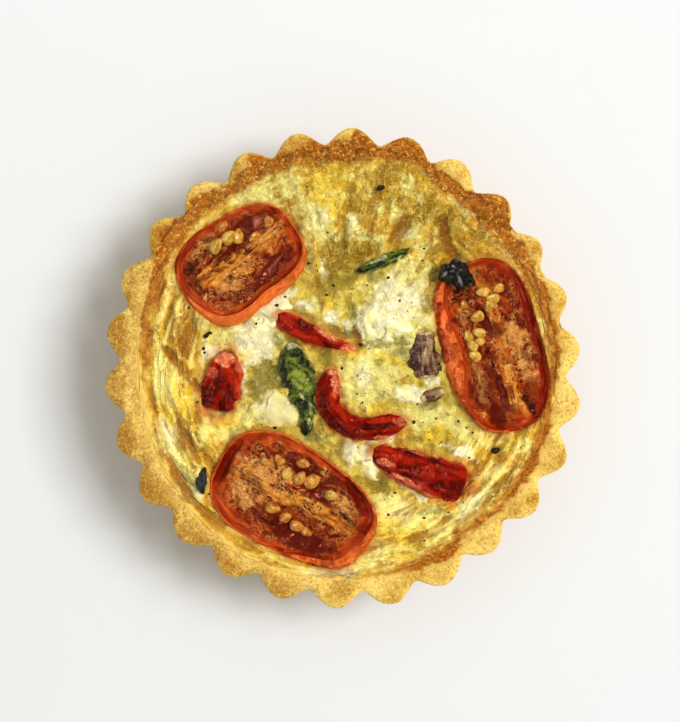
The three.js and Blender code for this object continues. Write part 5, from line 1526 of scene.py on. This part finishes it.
def pepperRelief(spec, along, across, side, turn):
    top = np.clip(np.sin(turn), 0, 1)
    folds = cloud(along * 0.4, across * 1.0 + spec["seed"], 2.2, spec["seed"], 2)
    crease = creases(along * 0.4, across * 1.2, 3.4, spec["seed"] + 1, 1)
    fine = cloud(along, across, 1.3, spec["seed"] + 3, 2)
    rise = (pepperLook["wrinkles"] * (folds - 0.7 * (crease - 0.3)) + pepperLook["fine"] * fine) * top
    rolled = 0.5 * np.abs(side) ** 4 * top
    return rise + rolled, np.clip(0.55 + folds * 0.8 - (crease - 0.3) * 0.8, 0, 1)


def bodyTone(look, tone, at, streak):
    # the tone of a topping: painted shade in its hollows, painted highlights on its ridges, and its torn spots, the
    # light and dark ones partly painted highlight and shade
    base = mixColour(spread(at["crest"], look["hollow"][0], look["hollow"][1]), tone["body"], tone["dark"])
    base = over(base, tone["light"], spread(at["crest"], look["ridge"], 1.0), look["ridgeHighlightShare"])
    for label, most in look["spotShares"].items():
        spot = spread(torn(streak, look["tear"], at[label]), look["spotEdge"][0], look["spotEdge"][1])
        base = over(base, tone[label], spot, spread(at[label], 0.0, 0.15), most)
    return base


def pepperMaterial():
    material, tree, shader = newMaterial("roastedPepper")
    tone, at = tonesOf(pepperLook), marksIn(tree, "crest dark light film edge")
    streak, fine = noiseTexture(tree, 1.6, 4, 0.55, 0.8), noiseTexture(tree, 0.5, 4, 0.6)
    base = bodyTone(pepperLook, tone, at, streak)
    base = mottle(base, tone["dark"], tone["light"], 1.4, 0.3, 0.3)[0]
    # custard dried on in a thin milky skin along the edges
    base = over(base, tone["film"], spread(torn(streak, 0.7, at["edge"]), 0.86, 1.1), 0.75)
    base = over(base, tone["milky"], spread(fine, 0.5, 0.66), spread(at["film"], 0.35, 1.0), 0.8)
    height = sums("MULTIPLY_ADD", fine, 0.5, streak)
    finish(shader, base, spread(streak, 0.3, 0.7, 0.1, 0.22), 0.32, height, 0.55, 0.45, (1.0, 0.34, 0.24))
    return material


pepperFinish = pepperMaterial()
for title, spec in peppers.items():
    strip = layAlong(title, spec, pepperRelief)
    dress(strip, pepperFinish, "pepper", spec["node"])
print("pepper laid")


onionLook = {
    "strands": 0.8, "hollow": (0.45, 0.1), "ridge": 0.6, "ridgeHighlightShare": 1.0, "tear": 1.4,
    "spotEdge": (0.3, 0.8), "spotShares": {"light": 1.0, "dark": 1.0, "film": 1.0},
    "body": (116, 76, 58), "dark": (58, 20, 8), "light": (158, 126, 94), "film": (212, 192, 140),
}


def onionRelief(spec, along, across, side, turn):
    top = np.clip(np.sin(turn), 0, 1)
    layersAcross = creases(along * 0.16, across * 1.0 + spec["seed"], 1.5, spec["seed"], 2)
    fine = cloud(along, across, 1.2, spec["seed"] + 3, 3)
    rise = (onionLook["strands"] * (layersAcross - 0.4) + 0.25 * fine) * top
    return rise, np.clip(0.5 + (layersAcross - 0.4) * 1.2, 0, 1)


def onionMaterial():
    material, tree, shader = newMaterial("bakedOnion")
    tone, at = tonesOf(onionLook), marksIn(tree, "crest dark light film")
    streak = noiseTexture(tree, 1.1, 5, 0.6, 0.8)
    base = bodyTone(onionLook, tone, at, streak)
    finish(shader, mottle(base, tone["dark"], tone["film"], 0.8, 0.4, 0.4)[0], 0.35, 0.3, streak, 0.5, 0.4)
    return material


onionFinish = onionMaterial()
for title, spec in onions.items():
    piece = layAlong(title, {**spec, "ragged": 0.3, "bluntness": 14}, onionRelief, 72, 120)
    dress(piece, onionFinish, "onion", spec["node"])


leafShading = {"hollow": (0.45, 0.1), "ridge": 0.55, "ridgeHighlightShare": 0.6, "tear": 1.6, "spotEdge": (0.3, 0.85),
               "spotShares": {"light": 1.0, "dark": 1.0, "film": 1.0}}
greenLook = {"body": (84, 98, 26), "light": (150, 158, 62), "dark": (28, 34, 18), "film": (190, 190, 140),
             "rough": 0.38, "gloss": 0.25, "grain": 0.4, **leafShading}
# on the burnt leaf the film tone serves as painted grey glints in its spots and a faint grey edge, and the light tone
# as painted highlights on its ridges
burntLook = {"body": (12, 8, 4), "light": (34, 28, 16), "dark": (12, 8, 4), "film": (112, 114, 108),
             "rough": 0.2, "gloss": 0.34, "grain": 0.16, **leafShading}


def pleats(x, y):
    # flat facets with sharp edges, as in burnt paper
    total = 0
    for degrees, size in ((12, 3.1), (74, 2.3), (131, 2.7)):
        direction = x * cos(radians(degrees)) + y * sin(radians(degrees))
        total += np.abs(direction / size % 1 - 0.5) * 2 / 3
    return total


def leafRelief(spec, along, across, side, turn):
    # a thin sheet, so both of its faces crumple together
    folds = creases(along * 0.7, across * 0.9 + spec["seed"], 2.6, spec["seed"], 3)
    fine = cloud(along, across, 1.1, spec["seed"] + 3, 3)
    if spec["charred"]:
        folds, fine = pleats(along + 0.6 * fine, across + spec["seed"]), 0.3 * fine
    rise = spec["crumple"] * (folds - 0.35) * 1.6 + 0.3 * fine + spec["curl"] * (np.abs(side) ** 2 - 0.3)
    return rise, np.clip(0.5 + (folds - 0.4) * 1.1 + 0.25 * fine, 0, 1)


def leafMaterial(name, look):
    material, tree, shader = newMaterial(name)
    tone, at = tonesOf(look), marksIn(tree, "crest dark light film edge")
    streak = noiseTexture(tree, 1.0, 5, 0.6, 1.2)
    base = bodyTone(look, tone, at, streak)
    base = over(base, tone["film"], spread(torn(streak, 0.9, at["edge"]), 0.92, 1.15), 0.5)
    base = mottle(base, tone["dark"], tone["light"], 0.7, 0.5, 0.4)[0]
    finish(shader, base, look["rough"], look["gloss"], streak, 0.7, look["grain"])
    return material


greenLeaf, burntLeaf = leafMaterial("wiltedLeaf", greenLook), leafMaterial("burntLeaf", burntLook)
for title, spec in leaves.items():
    charred = spec["charred"]
    shape = {**spec, "ragged": 0.5 if charred else 0.25, "bluntness": 3}
    dress(layAlong(title, shape, leafRelief, 88), burntLeaf if charred else greenLeaf,
          "charred_leaf" if charred else "leaf", spec["node"])
print("onion and leaves laid")


# melted cheese

cheeseLook = {
    "around": 120, "rings": 34, "sink": 0.6, "lumps": 0.55, "white": (250, 247, 214), "cream": (246, 238, 158),
    "grey": (180, 174, 120), "dull": (204, 196, 134), "custard": (246, 232, 142),
}


def cheeseMesh(name, spec):
    count, rings = cheeseLook["around"], cheeseLook["rings"]
    a = directions(count)
    turn = radians(spec["turn"])
    uneven = 1 + 0.1 * np.sin(3 * a + spec["phase"]) + 0.06 * np.sin(5 * a + 2 * spec["phase"]) + 0.05 * np.sin(9 * a)
    points, crests, edges = [], [], []

    def ring(s, heightAt):
        p, q = spec["rx"] * uneven * s * np.cos(a), spec["ry"] * uneven * s * np.sin(a)
        x = spec["x"] + p * cos(turn) - q * sin(turn)
        y = spec["y"] + p * sin(turn) + q * cos(turn)
        z, crest, edge = heightAt(x, y)
        points.append(columns(x, y, z))
        crests.append(np.broadcast_to(crest, count))
        edges.append(np.full(count, edge * spec["fade"]))

    for s in np.linspace(0, 1, rings + 1)[1:]:
        def dome(x, y):
            lump = cloud(x, y, 3.2, 501, 2)
            rise = spec["rise"] * (1 - s ** 2) ** 0.8 - cheeseLook["sink"] * ramp(s, 0.55, 1) * 1.2
            z = custardLevel(x, y) + rise + (moundAt(x, y, spec) - 0.5 * spec["rise"]) + cheeseLook["lumps"] * lump
            return z, np.clip(0.5 + lump, 0, 1), ramp(s, 0.35, 0.95)
        ring(s, dome)
    for s, drop in ((0.9, 0.6), (0.6, 1.0), (0.25, 1.2)):
        ring(s, lambda x, y: (points[rings - 1][:, 2] - drop, 0.5, 1))
    faces = ringFaces(len(points), count)
    allPoints = np.vstack([[points[0].mean(0)], *points, [points[-1].mean(0) - [0, 0, 0.05]]])
    return addMesh(name, allPoints, faces, {"crest": np.concatenate([[0.5], *crests, [0.5]]),
                                            "edge": np.concatenate([[0], *edges, [1]]),
                                            "dull": np.full(len(allPoints), spec["dull"])})


def cheeseMaterial():
    material, tree, shader = newMaterial("meltedCheese")
    tone, at = tonesOf(cheeseLook), marksIn(tree, "crest dull edge")
    base = mixColour(spread(noiseTexture(tree, 3.0, 4), 0.4, 0.62), tone["cream"], tone["white"])
    # painted shade: grey in the low parts between the lumps
    base = mixColour(spread(at["crest"], 0.35, 0.0), base, tone["grey"])
    base, speck = mottle(base, tone["grey"], tone["white"], 2.4, 0.35, 0.6)
    base = mixColour(at["dull"], base, tone["dull"])
    # towards its edge it takes the colour of the custard
    base = mixColour(spread(torn(speck, 1.2, at["edge"]), 0.2, 0.85), base, tone["custard"])
    finish(shader, base, 0.3, 0.5, noiseTexture(tree, 1.2, 4), 0.35, 0.35)
    for label, value in {"Weight": 0.25, "Radius": (0.002, 0.0016, 0.001), "Scale": 0.8}.items():
        shader.inputs["Subsurface " + label].default_value = value
    return material


cheeseFinish = cheeseMaterial()
for title, spec in cheeses.items():
    dress(cheeseMesh(title, spec), cheeseFinish, "cheese", spec["node"])
print("cheese melted")


# flakes of black pepper and small burnt bits

flakeLook = {"sizes": {"Length": 0.62, "Width": 0.4, "Height": 0.26, "Wrinkles": 0.7}, "taper": 0.3}

# x, y, turn, size
flakeSpots = [
    (7.7, 37.5, 20, 1.5), (31.6, -17.2, 10, 1.6), (-28.6, 6.9, 40, 1.2), (-27.9, 7.3, 0, 0.8), (-29.2, 4.1, 70, 0.5),
    (-29, 3.2, 30, 0.35), (-32.3, 12.6, 100, 0.7), (-31.9, 13.4, 0, 0.45), (-28.9, -18, 0, 0.45),
    (-28.1, -26.2, 0, 0.5), (-26.6, -28.2, 40, 0.5), (-26.8, -30, 10, 0.4), (-30.4, -7, 60, 0.6), (-14, 13, 20, 0.8),
    (-12.2, 14.8, 0, 0.55), (3.4, 4.9, 160, 0.7), (-0.4, 0, 60, 0.45), (11.6, 14, 70, 0.5), (14, 13.6, 0, 0.3),
    (-3.4, 28.2, 0, 0.4), (-7.3, 21.8, 0, 0.6), (-2.2, 17.2, 0, 0.6), (-3.6, 15.2, 0, 0.35), (4.8, 17.2, 0, 0.45),
    (9.2, 18.8, 30, 0.5), (15.8, 25, 0, 0.35), (16.6, 24.8, 0, 0.4), (16.3, 22.4, 0, 0.4), (-7.6, 37.6, 0, 0.4),
    (6.8, 40.6, 0, 0.35), (9.3, -30.5, 0, 0.45), (16.7, -31.2, 0, 0.55), (21.8, -30, 10, 0.65), (16.7, -36, 0, 0.3),
    (10.6, -26, 0, 0.5), (14.5, -11.2, 90, 0.6), (23.8, -11, 90, 0.5), (19.2, -10.6, 0, 0.45), (25.5, -12.4, 0, 0.35),
    (26.7, -13.4, 0, 0.4), (17.8, -15, 0, 0.45), (26, -18.6, 40, 0.4), (2.8, -5.4, 0, 0.45), (3.8, -7.2, 0, 0.35),
    (8.4, -4.9, 60, 0.45), (-14.4, -12.4, 10, 0.6), (12, 6.2, 90, 0.4), (-18.2, 9.2, 60, 0.35),
    (-43.9, -5.3, 0, 0.35),
]


def flakeMesh():
    x, y, turn, size = np.array(flakeSpots, float).T
    z, _ = custardSurface(x, y)
    return laidPoints("flakeSpots", columns(x, y, z + 0.1), turn, size, np.random.default_rng(97))


flakes = grown(flakeMesh(), laidSeeds, "pepperFlakes", pepperDust, flakeLook["sizes"], {"Taper": flakeLook["taper"]})
dress(flakes, pepperDust, "custard", "filling")
print("flakes strewn")


# floor, light and camera

stageLook = {"floor": (221, 224, 231), "floorLight": (223, 226, 232), "floorSize": 20000.0, "sky": 0.53,
             "skyTint": (1.0, 0.975, 0.84), "lampTint": (1.0, 0.985, 0.955)}
# a broad lamp gives the soft shadow, two smaller ones only the highlights on what is wet
lamps = {
    "lamp": {"power": 20.8, "size": 720.0, "distance": 1600.0, "azimuth": 12.0, "height": 56.0},
    "glint": {"power": 9.5, "size": 120.0, "distance": 1100.0, "azimuth": 110.0, "height": 64.0},
    "window": {"power": 5.0, "size": 220.0, "distance": 1100.0, "azimuth": 205.0, "height": 46.0},
}


def makeStage():
    half = stageLook["floorSize"]
    floor = addMesh("floor", [(-half, -half, 0), (half, -half, 0), (half, half, 0), (-half, half, 0)], [(0, 1, 2, 3)])
    material, tree, shader = newMaterial("paleFloor")
    grain = spread(noiseTexture(tree, 90, 2), 0.3, 0.7)
    finish(shader, mixColour(grain, colour(*stageLook["floor"]), colour(*stageLook["floorLight"])), 0.5, 0.2)
    floor.data.materials.append(material)

    for name, look in lamps.items():
        light = bpy.data.lights.new(name, "AREA")
        light.energy, light.size, light.color = look["power"], look["size"] * millimetre, stageLook["lampTint"]
        holder = objectWith(name, light)
        azimuth, height = radians(look["azimuth"]), radians(look["height"])
        away = Vector((cos(azimuth) * cos(height), sin(azimuth) * cos(height), sin(height)))
        holder.location = away * look["distance"] * millimetre
        holder.rotation_euler = away.to_track_quat("Z", "Y").to_euler()
        holder.visible_diffuse, holder.visible_glossy = name == "lamp", name != "lamp"

    world = bpy.context.scene.world = bpy.data.worlds.new("paleRoom")
    world.use_nodes = True
    sky = world.node_tree.nodes["Background"].inputs
    sky["Color"].default_value = (*stageLook["skyTint"], 1)
    sky["Strength"].default_value = stageLook["sky"]


cameraSetting = {"x": -0.83, "y": 1.46, "height": 377.0, "lens": 85.0, "sensor": 36.0, "nearest": 0.01,
                 "exposure": 0.11, "gamma": 0.88}

makeStage()
camera = bpy.data.cameras.new("overhead")
camera.lens = cameraSetting["lens"]
camera.sensor_width = cameraSetting["sensor"]
camera.clip_start = cameraSetting["nearest"]
cameraHolder = objectWith("overhead", camera)
cameraHolder.location = Vector((cameraSetting["x"], cameraSetting["y"], cameraSetting["height"])) * millimetre
bpy.context.scene.camera = cameraHolder
viewing = bpy.context.scene.view_settings
viewing.view_transform = "Standard"
viewing.exposure, viewing.gamma = cameraSetting["exposure"], cameraSetting["gamma"]
print("floor, light and camera set")
